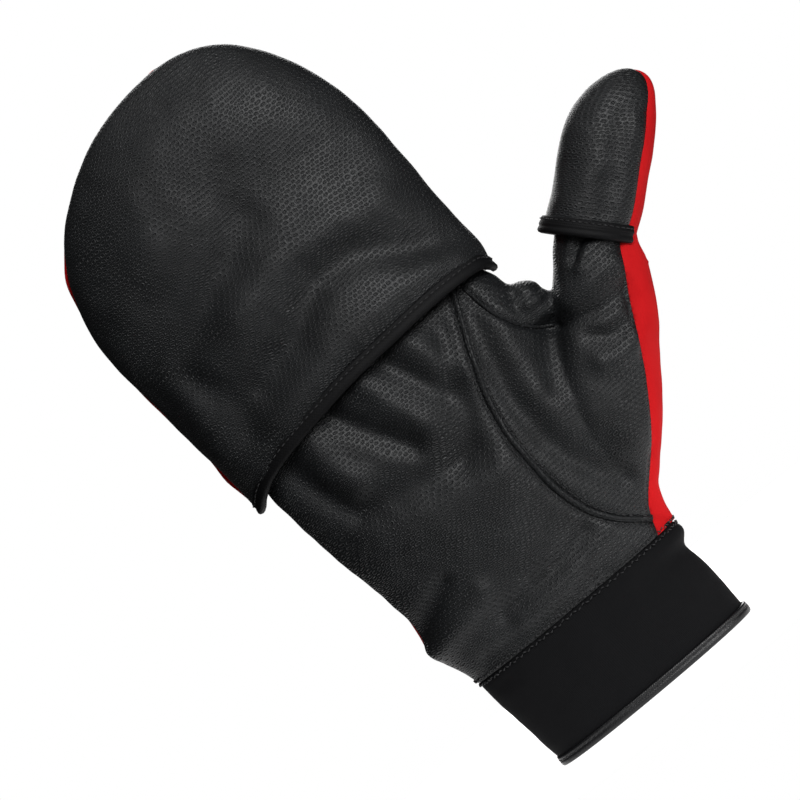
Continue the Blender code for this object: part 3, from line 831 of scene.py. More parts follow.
# How far above the cuff's seam the skin begins, and below the stalls' and the sleeve's tops it ends.
SKIN_FOOT = 0.2
SKIN_SHORT = 0.3


def open_ends(shape, grow=0.0):
    """Open the skin at the wrist, at the stalls' tops and at the end of the thumb sleeve."""
    tops = np.array([top for _, _, top in stall_places()])

    def below_wrist(points):
        return CUFF_TOP + SKIN_FOOT - grow - points[:, 2]

    def above_stall(points):
        over = points[:, 2] - tops[nearest_stall(points[:, 0])] + SKIN_SHORT
        return np.where(points[:, 0] < THUMB_FROM_X, over, -1.0)

    def above_sleeve(points):
        over = to_thumb(points)[:, 2] - SLEEVE_TOP + SKIN_SHORT
        return np.where(points[:, 0] > THUMB_FROM_X, over, -1.0)

    for field in (below_wrist, above_stall, above_sleeve):
        cut_off(shape, field)


def region_of(points):
    """Which panel each point of the skin belongs to."""
    names = np.full(len(points), "palm", dtype=object)
    names[thenar_side(points) > 0] = "thumb"
    names[web_side(points) > 0] = "gusset"
    names[edge_seam(points) > 0] = "back"
    names[stall_root(points) > 0] = "stall"
    return names


def piece_from_faces(name, shape, chosen, thickness=LEATHER):
    """A new cloth piece from some of the skin's faces."""
    index = {}
    faces = []
    for face, wanted in zip(shape.faces, chosen):
        if wanted:
            faces.append([index.setdefault(vert, len(index)) for vert in face.verts])
    piece = make_mesh(name, np.array([vert.co for vert in index]), faces)
    thicken(piece, thickness)
    return piece


def soften_rows(table):
    """Even out a list of unit vectors along its length."""
    for _ in range(4):
        table[1:-1] = (table[:-2] + 2 * table[1:-1] + table[2:]) / 4
    return unit(table)


PALM_SIDE = -1.0
BACK_SIDE = 1.0
DRAPE_FROM = 60.0


def drape(tree, plan, side=PALM_SIDE, lift=0.0):
    """Where plan points fall on a surface, seen from the palm or the back, and its normals."""
    places, normals = [], []
    for x, z in plan:
        place, normal, _, _ = tree.ray_cast(Vector((x, side * DRAPE_FROM, z)), Vector((0.0, -side, 0.0)))
        if place is None:
            continue
        normal = np.array(normal) * math.copysign(1, normal.y * side)
        places.append(np.array(place) + lift * normal)
        normals.append(normal)
    return np.array(places), soften_rows(np.array(normals))


# ------------------------------------------------------------------ materials

class Value:
    """A node's output that adds and multiplies like a number."""

    def __init__(self, nodes, socket):
        self.nodes = nodes
        self.socket = socket

    def __add__(self, other):
        return self.nodes.math("ADD", self, other)

    def __sub__(self, other):
        return self.nodes.math("SUBTRACT", self, other)

    def __mul__(self, other):
        return self.nodes.math("MULTIPLY", self, other)

    def __truediv__(self, other):
        return self.nodes.math("DIVIDE", self, other)


class Nodes:
    """A short way to write a material's node tree."""

    def __init__(self, name):
        self.material = bpy.data.materials.new(name)
        self.material.use_nodes = True
        self.tree = self.material.node_tree
        self.shader = self.tree.nodes["Principled BSDF"]

    def add(self, kind, inputs=None, **settings):
        node = self.tree.nodes.new(kind)
        for key, value in settings.items():
            setattr(node, key, value)
        for key, value in (inputs or {}).items():
            self.feed(node.inputs[key], value)
        return node

    def feed(self, socket, value):
        """Link a value to a socket, or set the socket to a number or colour."""
        if isinstance(value, Value):
            self.tree.links.new(value.socket, socket)
        else:
            socket.default_value = value

    def math(self, operation, *values):
        node = self.add("ShaderNodeMath", dict(enumerate(values)), operation=operation)
        return Value(self, node.outputs[0])

    def plan(self):
        """The metric UV map in millimetres: its two coordinates, and both as a vector."""
        uv = Value(self, self.add("ShaderNodeUVMap", uv_map="metric").outputs[0])
        parts = self.add("ShaderNodeSeparateXYZ", {0: uv})
        x, z = (Value(self, parts.outputs[i]) * (1 / MM) for i in (0, 1))
        return x, z, Value(self, self.add("ShaderNodeCombineXYZ", {0: x, 1: z}).outputs[0])

    def sine(self, value):
        return self.math("SINE", value)

    def noise(self, vector, scale, detail, rough=0.5):
        """Noise with so many features in a millimetre."""
        inputs = {"Vector": vector, "Scale": scale, "Detail": detail, "Roughness": rough}
        return Value(self, self.add("ShaderNodeTexNoise", inputs).outputs[0])

    def ramp(self, value, low, high, to_low=0.0, to_high=1.0):
        node = self.add("ShaderNodeMapRange", dict(enumerate((value, low, high, to_low, to_high))),
                        interpolation_type="SMOOTHSTEP")
        return Value(self, node.outputs[0])

    def mix(self, share, first, second):
        node = self.add("ShaderNodeMix", {0: share, 6: first, 7: second}, data_type="RGBA")
        return Value(self, node.outputs[2])

    def bump(self, height, strength, depth):
        inputs = {"Height": height, "Strength": strength, "Distance": depth * MM}
        return Value(self, self.add("ShaderNodeBump", inputs).outputs[0])

    def finish(self, color, roughness, specular, **others):
        """Feed the shader's sockets; an underscore stands for a space in the others' names."""
        sockets = {"Base Color": color, "Roughness": roughness, "Specular IOR Level": specular, **others}
        for key, value in sockets.items():
            self.feed(self.shader.inputs[key.replace("_", " ")], value)
        return self.material


# The embossed dashes of the leather: their pitch, half length, blurred edge and raised rim.
DASH_PITCH_X = 2.15
DASH_PITCH_Z = 1.5
DASH_HALF = 0.32
DASH_EDGE = (0.14, 0.36)
DASH_RIM = 0.47
RIM_EDGE = (0.02, 0.2)
DASH_WANDER = 5.0


def dash_distance(n, x, z):
    """The distance from the middle line of the nearest dash; every second row is shifted."""
    row = z / DASH_PITCH_Z
    column = x / DASH_PITCH_X + n.math("FLOORED_MODULO", n.math("FLOOR", row), 2.0) * 0.5
    in_x = n.math("ABSOLUTE", n.math("FRACT", column) - 0.5) * DASH_PITCH_X
    in_z = n.math("ABSOLUTE", n.math("FRACT", row) - 0.5) * DASH_PITCH_Z
    past = n.math("MAXIMUM", in_x - DASH_HALF, 0.0)
    return n.math("SQRT", past * past + in_z * in_z)


def leather_material():
    """Black embossed leather: a staggered grid of short dashes over a fine grain, with painted shade in the
    sunk dashes and a painted highlight on their raised rims.
    """
    n = Nodes("black_leather")
    x, z, plan = n.plan()
    x = x + n.noise(plan, 0.08, 2.0) * DASH_WANDER
    z = z + n.noise(plan, 0.07, 2.0) * DASH_WANDER
    distance = dash_distance(n, x, z)
    patchy = n.ramp(n.noise(plan, 0.35, 3.0), 0.3, 0.7, 0.5, 1.0)
    dash_pit_and_painted_shade = n.ramp(distance, *DASH_EDGE, 1.0, 0.0) * patchy
    rim_and_painted_highlight = n.ramp(n.math("ABSOLUTE", distance - DASH_RIM), *RIM_EDGE, 1.0, 0.0) * patchy
    grain = n.noise(plan, 1.6, 5.0, 0.65)
    worn = n.ramp(n.noise(plan, 0.05, 4.0), 0.35, 0.7)
    color = n.mix(worn, (0.0036, 0.0040, 0.0045, 1), (0.0068, 0.0075, 0.0083, 1))
    # Painted highlight: the raised rims round the dashes are lightened in colour.
    color = n.mix(rim_and_painted_highlight * 0.7, color, (0.0145, 0.0157, 0.0172, 1))
    # Painted shade: the sunk dashes are darkened in colour.
    color = n.mix(dash_pit_and_painted_shade * 0.85, color, (0.0017, 0.0019, 0.0022, 1))
    rough = n.ramp(grain, 0.3, 0.7, 0.40, 0.50) + dash_pit_and_painted_shade * 0.12
    normal = n.bump(grain * 0.5 - dash_pit_and_painted_shade + rim_and_painted_highlight * 0.6, strength=0.7, depth=0.3)
    return n.finish(color, rough, specular=0.31, Normal=normal)


def softshell_material():
    """Red soft-shell: a fine smooth knit face, matt, with a short nap."""
    n = Nodes("red_softshell")
    x, z, plan = n.plan()
    loops = n.sine((x + z * 0.12) * 9.0) * n.sine(z * 11.0)
    knit = (loops + 1.0) * 0.5
    fuzz = n.noise(plan, 3.0, 4.0, 0.7)
    mottled = n.ramp(n.noise(plan, 0.08, 4.0), 0.3, 0.7)
    color = n.mix(mottled, (0.47, 0.0075, 0.0095, 1), (0.52, 0.0095, 0.0115, 1))
    color = n.mix(knit * -0.22 + 0.22, color, (0.26, 0.003, 0.005, 1))
    normal = n.bump(knit * 0.7 + fuzz * 0.5, strength=0.45, depth=0.12)
    return n.finish(color, roughness=0.86, specular=0.06, Normal=normal)


def knit_material(name, dark, light, rib, course, roughness, depth):
    """A plain knit: vertical ribs crossed by courses."""
    n = Nodes(name)
    x, z, plan = n.plan()
    ribs = n.math("ABSOLUTE", n.sine(x * (math.pi / rib)))
    courses = n.sine((z + ribs * 0.9) * (math.tau / course))
    knit = ribs * 0.7 + courses * 0.3
    fuzz = n.noise(plan, 2.2, 4.0, 0.7)
    color = n.mix(n.ramp(knit + fuzz * 0.6, 0.3, 1.3), dark, light)
    normal = n.bump(knit + fuzz * 0.5, strength=0.5, depth=depth)
    return n.finish(color, roughness, specular=0.12, Normal=normal)


def tape_material(name, dark, light, roughness, specular):
    """Folded binding tape with a fine slanting weave."""
    n = Nodes(name)
    along, around, plan = n.plan()
    twill = n.sine((along + around) * (math.tau / 0.75))
    cross = n.sine((along - around) * (math.tau / 0.9))
    weave = (twill + cross * 0.5) * 0.5
    height = weave * 0.5 + n.noise(plan, 1.2, 4.0, 0.6)
    color = n.mix(n.ramp(height, 0.1, 1.0), dark, light)
    normal = n.bump(height, strength=0.5, depth=0.16)
    return n.finish(color, roughness, specular, Normal=normal)


def fleece_material():
    """Black brushed fleece with small tufts."""
    n = Nodes("fleece_pile")
    plan = n.plan()[2]
    pile = n.noise(plan, 0.9, 6.0, 0.75)
    tufts = n.noise(plan, 0.28, 3.0, 0.6)
    color = n.mix(n.ramp(pile, 0.3, 0.75), (0.0045, 0.0045, 0.005, 1), (0.017, 0.017, 0.018, 1))
    normal = n.bump(pile + tufts, strength=0.9, depth=0.7)
    return n.finish(color, roughness=0.95, specular=0.15, Normal=normal, Sheen_Weight=0.18,
                    Sheen_Roughness=0.7)


def thread_material(name, color):
    """Sewing thread with its twist."""
    n = Nodes(name)
    x, z, _ = n.plan()
    normal = n.bump(n.sine((x + z) * 14.0), strength=0.4, depth=0.08)
    return n.finish(color, roughness=0.55, specular=0.5, Normal=normal)


def floor_material():
    """A plain pale floor that is nearly as bright as the studio behind it."""
    n = Nodes("pale_floor")
    return n.finish((0.9, 0.9, 0.9, 1), roughness=0.9, specular=0.0, Emission_Color=(1, 1, 1, 1),
                    Emission_Strength=0.92)


# The material of each slot, and the two threads.
MATERIALS = {
    "leather": leather_material(),
    "softshell": softshell_material(),
    "neoprene": knit_material("black_neoprene", (0.0014, 0.0014, 0.0018, 1), (0.0034, 0.0035, 0.0042, 1),
                              rib=0.55, course=0.8, roughness=0.78, depth=0.10),
    "stall_knit": knit_material("stall_rib_knit", (0.004, 0.004, 0.0045, 1), (0.014, 0.014, 0.015, 1),
                                rib=1.7, course=1.3, roughness=0.9, depth=0.45),
    "binding_tape": tape_material("binding_weave", (0.0015, 0.0015, 0.0018, 1),
                                  (0.0044, 0.0044, 0.0050, 1), roughness=0.62, specular=0.13),
    "hem_tape": tape_material("hem_tape_gloss", (0.0025, 0.0025, 0.0030, 1),
                              (0.0060, 0.0062, 0.0070, 1), roughness=0.34, specular=0.36),
    "fleece": fleece_material(),
    "thread": thread_material("black_thread", (0.0055, 0.0055, 0.0065, 1)),
    "red_thread": thread_material("red_thread", (0.30, 0.006, 0.008, 1)),
    "hook_and_loop": knit_material("hook_and_loop_pile", (0.002, 0.002, 0.002, 1), (0.012, 0.012, 0.013, 1),
                                   rib=0.9, course=0.9, roughness=0.85, depth=0.6),
}


# ------------------------------------------------------------------ pieces of the glove

# The panels of the skin: (piece, region, slot, CAD node).
PANELS = [
    ("palm_leather", "palm", "leather", "palm_panel"),
    ("thumb_leather", "thumb", "leather", "thumb_panel"),
    ("crotch_gusset_leather", "gusset", "leather", "crotch_gusset"),
    ("back_softshell", "back", "softshell", "back_panel"),
]


def build_glove():
    """The panels, the half fingers and the lining; returns the closed skin to drape things on."""
    skin = one_skin()
    shape_folds(skin)
    inside = skin.copy()
    tree = BVHTree.FromBMesh(skin)
    open_ends(skin)
    for field in (edge_seam, thenar_side, web_side, stall_root):
        split_along(skin, field)
    centres = face_centres(skin)
    regions = region_of(centres)
    for name, region, slot, node in PANELS:
        dress(piece_from_faces(name, skin, regions == region), "glove", slot, node)
    nearest = nearest_stall(centres[:, 0])
    for index, name in enumerate(STALL_NAMES):
        chosen = (regions == "stall") & (nearest == index)
        piece = piece_from_faces(f"{name}_half_finger", skin, chosen)
        dress(piece, "glove", "stall_knit", f"{name}_stall")
    skin.free()
    build_lining(inside)
    return tree


def build_lining(skin):
    """The fleece inside the glove: the same folded skin, further in."""
    skin.normal_update()
    normals = [vert.normal.copy() for vert in skin.verts]
    for vert, normal in zip(skin.verts, normals):
        vert.co -= normal * LINING_IN
    open_ends(skin, grow=-1.0)
    lining = piece_from_faces("glove_fleece", skin, [True] * len(skin.faces), LINING)
    skin.free()
    dress(lining, "glove", "fleece", "hand_lining")


def round_profile(half_out, half_side, rise, count):
    """The oval section of a piped seam, as (out, side) points."""
    return [(math.cos(angle) * half_out + rise, math.sin(angle) * half_side)
            for angle in ring_angles(count)]


THENAR_WELT = round_profile(1.05, 1.15, 0.45, 12)
CROTCH_WELT = round_profile(0.7, 0.6, 0.1, 10)
WELT_TOP = 152.0
WELT_FOOT = CUFF_TOP + 1.5
STITCHES_BESIDE = 2.0


def build_seams(tree):
    """The piped thenar seam with a row of stitches on each side, and the crotch seam."""
    points = [point for point in THENAR_SEAM if CUFF_TOP < point[1] < KNUCKLES + 2]
    plan = rounded_line(points, 90)
    plan = plan[(plan[:, 1] < WELT_TOP) & (plan[:, 1] > WELT_FOOT)]
    dress(sweep("thenar_seam_welt", *drape(tree, plan), THENAR_WELT), "glove", "leather")
    for side, shift in (("left", -STITCHES_BESIDE), ("right", STITCHES_BESIDE)):
        sew(f"thenar_stitches_{side}", "glove", *drape(tree, plan + [shift, 0.0], lift=0.12))
    plan = rounded_line(CROTCH_SEAM[1:], 50)
    dress(sweep("crotch_seam_welt", *drape(tree, plan), CROTCH_WELT), "glove", "leather")


# The cuff's foot above the ground, and its gathers, each (height above the ground, half width, rise).
CUFF_FOOT = 1.6
CUFF_GATHERS = [(36.0, 3.2, 0.7), (31.0, 3.0, -0.6)]
CUFF_WAIST = (CUFF_TOP + 0.4, 1.6, -0.8)


def build_cuff():
    """The knitted sleeve, drawn in where it is sewn to the panels."""
    angles = ring_angles(150)
    levels = np.linspace(CUFF_FOOT, CUFF_TOP + 1.2, 44)
    points = cuff_point(levels[:, None], angles)
    x, z = points[..., 0], points[..., 2]
    gather = sum(rise * bell(z - height, width) for height, width, rise in CUFF_GATHERS)
    to_thumb_side = np.clip(x / 30, -0.2, 1)
    above_hem = np.clip((z - 3) / 6, 0, 1)
    height, width, rise = CUFF_WAIST
    lift = (unevenness(points, CUFF_UNEVEN) + gather * to_thumb_side) * above_hem
    lift += rise * bell(z - height, width)
    points = points + grid_normals(points, True) * lift[..., None]
    around = np.broadcast_to(np.linspace(0, CUFF_GIRTH, len(angles)), z.shape)
    plan = np.stack([around, z], -1).reshape(-1, 2)
    cuff = make_grid("cuff_sleeve", points, NEOPRENE, closed=True, plan=plan)
    dress(cuff, "glove", "neoprene", "cuff")


# The hem tape seen end on, as (out, up) points: folded over the cuff's lower edge.
HEM_PROFILE = [
    (1.9, 0.0), (2.25, 0.5), (2.3, HEM_HEIGHT * 0.5), (1.9, HEM_HEIGHT * 0.62),
    (2.25, HEM_HEIGHT * 0.75), (2.1, HEM_HEIGHT), (1.2, HEM_HEIGHT + 0.25), (1.1, 1.2),
    (-1.1, 1.2), (-1.2, HEM_HEIGHT), (-2.2, HEM_HEIGHT), (-2.4, 0.6), (-2.0, 0.0),
]
HEM_SEWN = 0.64


def build_hem():
    """The hem tape and its line of stitches."""
    angles = ring_angles(150)
    ring = cuff_point(0.0, angles, -1.0)
    out = ring_normals(angles)
    hem = upright_ring("cuff_hem_tape", ring, out, HEM_PROFILE)
    dress(hem, "glove", "hem_tape", "cuff_hem_binding")
    all_round = np.append(out, out[:1], 0)
    row = np.append(ring, ring[:1], 0) + all_round * 2.0 + [0, 0, HEM_HEIGHT * HEM_SEWN]
    sew("hem_stitches", "glove", row, all_round, pitch=2.3, length=1.7)


def ring_normals(angles):
    """Outward directions round the flattened wrist, level with the ground."""
    x, y = superellipse(angles, 1.0, 1.0)
    flatness = 0.37
    out_x = np.sign(x) * np.abs(x)**1.2 * flatness
    out_y = np.sign(y) * np.abs(y)**1.2
    return unit(np.stack([out_x, out_y, 0 * x], -1))


def build_cuff_seam():
    """The zig-zag stitches that join the cuff to the panels."""
    angles = np.linspace(0, math.tau, 151)
    zigzag = 0.45 * np.where(np.arange(len(angles)) % 2, 1, -1)
    for name, level, grow in (("lower", CUFF_TOP - 1.0, 0.25), ("upper", CUFF_TOP + 1.0, 0.6)):
        ring = cuff_point(level, angles, grow)
        ring[:, 2] += zigzag
        sew(f"cuff_stitches_{name}", "glove", ring, ring_normals(angles), pitch=1.9, length=1.6)


# Bindings folded over the ends of the stalls and of the thumb sleeve, as (out, up) points.
STALL_BINDING = [(0.5, 0.0), (1.15, 0.3), (1.25, 2.6), (0.9, 3.2), (0.0, 3.5), (-1.2, 3.2),
                 (-1.5, 2.4), (-1.4, 0.4), (-0.8, 0.0), (-0.7, 2.0), (0.4, 2.0)]
SLEEVE_BINDING = [(0.5, 0.0), (1.1, 0.3), (1.15, 3.0), (0.8, 3.5), (0.0, 3.7), (-1.1, 3.4),
                  (-1.4, 2.6), (-1.3, 0.4), (-0.8, 0.0), (-0.7, 2.2), (0.4, 2.2)]
STALL_BINDING_DROP = 3.0
SLEEVE_BINDING_DROP = 3.4
BINDING_IN = 0.4


def build_stall_bindings():
    """The bound ends of the four half fingers and of the thumb's sleeve."""
    angles = ring_angles(48)
    for name, middle, top in stall_places():
        x, y = superellipse(angles, STALL_HALF[0] - BINDING_IN, STALL_HALF[1] - BINDING_IN)
        ring = np.stack([middle + x, y, top - STALL_BINDING_DROP + 0 * x], -1)
        out = unit(np.stack([x, y, 0 * x], -1))
        tape = upright_ring(f"{name}_half_finger_binding", ring, out, STALL_BINDING)
        dress(tape, "glove", "binding_tape", f"{name}_stall_binding")
    ring = thumb_point(SLEEVE_TOP - SLEEVE_BINDING_DROP, angles, -BINDING_IN)
    out = unit(np.stack([ring[:, 0] - ring[:, 0].mean(), ring[:, 1] * 1.1, 0 * angles], -1))
    tape = upright_ring("thumb_sleeve_binding", ring, out, SLEEVE_BINDING)
    frame_in_metres = THUMB_FRAME.copy()
    frame_in_metres.translation *= MM
    tape.data.transform(frame_in_metres)
    dress(tape, "glove", "binding_tape", "thumb_stall_binding")


PATCH_THICKNESS = 1.2
PATCH_LIFT = 0.9
PATCH_PULL = 0.06
PATCH_STITCH_INSET = 0.86
PATCH_STITCH_LIFT = 1.05
PATCH_CORNERS = [(-1, -1), (1, -1), (1, 1), (-1, 1), (-1, -1)]


def build_patch(name, node, body, surface):
    """A hook or loop patch sewn on a back, where its CAD node is, with its corners rounded in."""
    low, high = corner(node, 0), corner(node, 1)
    middle = np.array([low.x + high.x, low.z + high.z]) / 2
    half = np.array([high.x - low.x, high.z - low.z]) / 2
    across, along = np.meshgrid(np.linspace(-1, 1, 15), np.linspace(-1, 1, 12))
    pull = 1 - PATCH_PULL * (across * along)**2
    plan = middle + half * np.stack([across * pull, along * pull], -1)
    places, normals = drape(surface, plan.reshape(-1, 2), BACK_SIDE)
    lift = PATCH_LIFT + unevenness(places, PATCH_UNEVEN)
    places = (places + normals * lift[:, None]).reshape(*plan.shape[:2], 3)
    dress(make_grid(name, places, PATCH_THICKNESS), body, "hook_and_loop", node)
    border = middle + half * PATCH_STITCH_INSET * np.array(PATCH_CORNERS)
    path = np.concatenate([np.linspace(a, b, 12)[:-1] for a, b in zip(border, border[1:])])
    row = drape(surface, path, BACK_SIDE, PATCH_STITCH_LIFT)
    sew(f"{name}_stitches", body, *row, pitch=2.0, length=1.5)


# ------------------------------------------------------------------ the hood

# Rings stop this far under a dome's very tip, so that they never shrink to one point.
POLE_GAP = 0.02
SEAM_PINCH = 1.4
HOOD_PALM_PINCH = 0.8
HOOD_BACK_PINCH = 0.6
HOOD_TIP_FADE = 14.0
# Where the red back stands out past the palm's edge on the little-finger side, as (height, half
# width), with its place across, how far round it reaches, and how far it stands out.
PEEPS = [(236, 8), (148, 7)]
PEEP_X = -68.0
PEEP_REACH = 9.0
PEEP_RISE = 1.6


def tape_profile(height, thickness, roll=0.5):
    """A folded tape seen end on, as (out, side) points: flat above, with a rolled lower edge."""
    t = thickness
    return [(0.0, -height), (0.75 * t, -height + 0.15), (t, -height + 0.7), (1.02 * t, -height * 0.55),
            (0.86 * t, -height * 0.42), (1.05 * t, -height * 0.25), (t + roll * 0.5, 0.2),
            (t * 0.8 + roll * 0.2, 0.95), (0.1, 1.3), (-t * 0.8, 1.0), (-t, 0.3), (-t, -height * 0.5),
            (-0.6 * t, -height * 0.8)]


def hood_foot(angle):
    """The height of the hood's edge at each ring angle."""
    return smooth(HOOD_MOUTH, np.degrees(angle) % 360)


def hood_grid(angles, rows, grow=0.0, rise=0.0):
    """Rings of hood points from its edge to its tip, for some of the ring's angles."""
    top = TIP_Z + grow
    foot = hood_foot(angles) + rise
    level = np.minimum(foot + (top - foot) * towards_tip(rows)[:, None], top - POLE_GAP)
    return hood_point(level, angles, grow)


def pinch(points):
    """How near each point is to the side seams at its row's two ends, 1 on the seam."""
    to_ends = [np.linalg.norm(points - points[:, [column]], axis=-1) for column in (0, -1)]
    return np.minimum(sum(bell(distance, SEAM_PINCH) for distance in to_ends), 1)


def hood_lift(points, normals):
    """How far the hood's cloth stands out or sinks in at each point: its folds and unevenness."""
    x, z = points[..., 0], points[..., 2]
    lift = fold_heights(x, z, HOOD_FOLDS) * facing(normals, -1, POCKET_FACING)
    lift += fold_heights(x, z, HOOD_BACK_FOLDS) * facing(normals, 1, POCKET_FACING)
    lift += unevenness(points, HOOD_UNEVEN)
    return lift * np.clip((TIP_Z - z) / HOOD_TIP_FADE, 0, 1)


def build_hood_palm():
    points = hood_grid(arc(HOOD_PALM_ARC, 130), 110)
    normals = grid_normals(points, False)
    lift = hood_lift(points, normals) - HOOD_PALM_PINCH * pinch(points)
    palm = make_grid("hood_palm_leather", points + normals * lift[..., None])
    dress(palm, "hood", "leather", "hood_palm")


def build_hood_back():
    """The red back with the flap that it is sewn on by; returns its surface to drape a patch on."""
    angles = arc(HOOD_BACK_ARC, 120)
    points = hood_grid(angles, 104)
    normals = grid_normals(points, False)
    x, z = points[..., 0], points[..., 2]
    lift = hood_lift(points, normals) - HOOD_BACK_PINCH * pinch(points)
    peep = sum(bell(z - height, width) for height, width in PEEPS)
    lift += PEEP_RISE * peep * bell(x - PEEP_X, PEEP_REACH)
    points = points + normals * lift[..., None]
    flap = build_flap(points[0], angles)
    piece = make_grid("hood_back_softshell", np.concatenate([flap, points]))
    bend = bend_places(HOOD_HINGE, Vector((0, -1, 1)), HOOD_BEND)
    dress(piece, "hood", "softshell", "hood_back", "hood_base_band", bend=bend)
    row = flap[SEWN_ROW]
    sewn = row[(row[:, 0] > SEWN_LEFT) & (row[:, 0] < SEWN_RIGHT)] + [0, 0.25, 0]
    sew("flap_stitches", "glove", sewn, np.tile([0.0, 1.0, 0.0], (len(sewn), 1)), thread="red_thread")
    return BVHTree.FromPolygons(points.reshape(-1, 3).tolist(), grid_faces(*points.shape[:2], False))


def build_flap(edge, angles):
    """Rows that carry the hood's back fabric down over the knuckles, where it is sewn on."""
    inside = np.minimum(edge[:, 0] - FLAP_LEFT, FLAP_RIGHT - edge[:, 0])
    share = ease(np.clip(inside / FLAP_EASE, 0, 1))
    rows = []
    for step in np.linspace(1, 0, 10)[:-1]:
        drop = (HOOD_BACK_EDGE - FLAP_FOOT) * step * share
        row = edge.copy()
        row[:, 2] -= drop
        hand_y = hand_point(row[:, 2], angles)[:, 1]
        over = hand_y / smooth(HAND_DEPTH, row[:, 2]) * smooth(FLAP_DEPTH, drop) + FLAP_OVER
        row[:, 1] = edge[:, 1] * (1 - share) + np.minimum(edge[:, 1], over) * share
        # Where nothing drops the rows would coincide, so each lies a little under the next.
        row[:, 1] = np.where(drop < 1e-3, edge[:, 1] - POLE_GAP * step, row[:, 1])
        rows.append(row)
    return np.array(rows)


def build_hood_lining():
    points = hood_grid(ring_angles(149), 70, grow=-HOOD_LINING_IN, rise=1.0)
    normals = grid_normals(points, True)
    points = points + normals * hood_lift(points, normals)[..., None]
    dress(make_grid("hood_fleece", points, HOOD_LINING, closed=True), "hood", "fleece", "hood_lining")


def level_outward(inner, outer):
    """Level directions from one row of points to a wider one."""
    out = outer - inner
    out[:, 2] = 0
    return soften_rows(unit(out))


def build_hood_binding():
    """The woven tape folded over the hood's palm edge and round its sides, with its stitch line."""
    angles = arc(HOOD_TAPE_ARC, 220)
    foot = hood_foot(angles)
    path = hood_point(foot, angles, 0.15)
    out = level_outward(path, hood_point(foot, angles, 1.15))
    path = path + out * unevenness(path, HOOD_TAPE_UNEVEN)[:, None]
    piece = sweep("hood_edge_tape", path, out, tape_profile(HOOD_TAPE_HEIGHT, TAPE))
    dress(piece, "hood", "binding_tape", "hood_binding")
    row = path + out * (TAPE * 1.02) + [0, 0, HOOD_TAPE_HEIGHT * 0.62]
    sew("hood_edge_stitches", "hood", row, out, pitch=2.5)


# ------------------------------------------------------------------ the thumb cap

CAP_TIP_FADE = 10.0
CAP_PINCH = 0.55
# The two layers of its tape: (name, height of its foot, how far out, own height, CAD nodes).
CAP_TAPES = [
    ("lower", CAP_MOUTH, 0.2, CAP_TAPE_HEIGHT * 0.62, ("thumb_cap_binding",)),
    ("upper", CAP_MOUTH + CAP_TAPE_HEIGHT * 0.58, 0.0, CAP_TAPE_HEIGHT * 0.42, ()),
]
CAP_TAPE_PAST = 0.12


def cap_sheet(angles, folds, layers):
    """Rings of folded cap points, in the thumb's frame."""
    levels = CAP_MOUTH + (CAP_TIP - CAP_MOUTH) * towards_tip(56)
    levels[-1] -= POLE_GAP / 2
    grid = cap_point(levels[:, None], angles)
    normals = grid_normals(grid, False)
    fade = np.clip((CAP_TIP - grid[..., 2]) / CAP_TIP_FADE, 0, 1)
    lift = fold_heights(grid[..., 0], grid[..., 2], folds) * facing(normals, -1, POCKET_FACING)
    lift = (lift + unevenness(grid, layers)) * fade - CAP_PINCH * pinch(grid)
    return grid + normals * lift[..., None]


def make_cap_piece(name, grid):
    """A cloth piece from a grid in the thumb's frame."""
    return make_grid(name, in_frame(THUMB_FRAME, grid), plan=row_plan(grid))


def build_cap():
    """The cap's leather front, its red back, which is sewn to the glove, and its lining."""
    grid = cap_sheet(np.linspace(CAP_FIRST, CAP_LAST, 90), CAP_FOLDS, CAP_LEATHER_UNEVEN)
    dress(make_cap_piece("thumb_cap_leather", grid), "thumb_cap", "leather", "thumb_cap_palm")
    angles = np.linspace(CAP_LAST, CAP_FIRST + math.tau, 70)
    grid = np.concatenate([cap_foot(angles), cap_sheet(angles, [], CAP_BACK_UNEVEN)])
    red = make_cap_piece("thumb_cap_softshell", grid)
    up_thumb = THUMB_FRAME.to_3x3() @ Vector((0, 0, 1))
    bend = bend_places(CAP_HINGE, up_thumb - CAP_AXIS.cross(up_thumb), CAP_BEND)
    dress(red, "thumb_cap", "softshell", "thumb_cap_back", bend=bend)

    levels = CAP_MOUTH + 1.0 + (CAP_TIP - 4.0 - CAP_MOUTH) * towards_tip(40)
    grid = cap_point(levels[:, None], ring_angles(89), -CAP_LINING_IN)
    lining = make_grid("thumb_cap_fleece", in_frame(THUMB_FRAME, grid), CAP_LINING, closed=True)
    dress(lining, "thumb_cap", "fleece", "thumb_cap_lining")


def cap_foot(angles):
    """Rows that carry the cap's back fabric down onto the thumb, where it is sewn on."""
    reach = np.minimum(angles - angles[0], angles[-1] - angles)
    share = ease(np.clip((reach - 0.25) / 0.5, 0, 1))
    rows = []
    for step in np.linspace(1, 0, 8)[:-1]:
        drop = FOOT_REACH * step * share
        level = CAP_MOUTH - drop
        grow = FOOT_OVER - FOOT_TUCK * (drop / FOOT_REACH)**2
        blend = (share * np.clip(drop / FOOT_BLEND, 0, 1))[:, None]
        row = cap_point(level, angles) * (1 - blend) + thumb_point(level, angles, grow) * blend
        row[:, 2] = level - POLE_GAP * step
        rows.append(row)
    return np.array(rows)


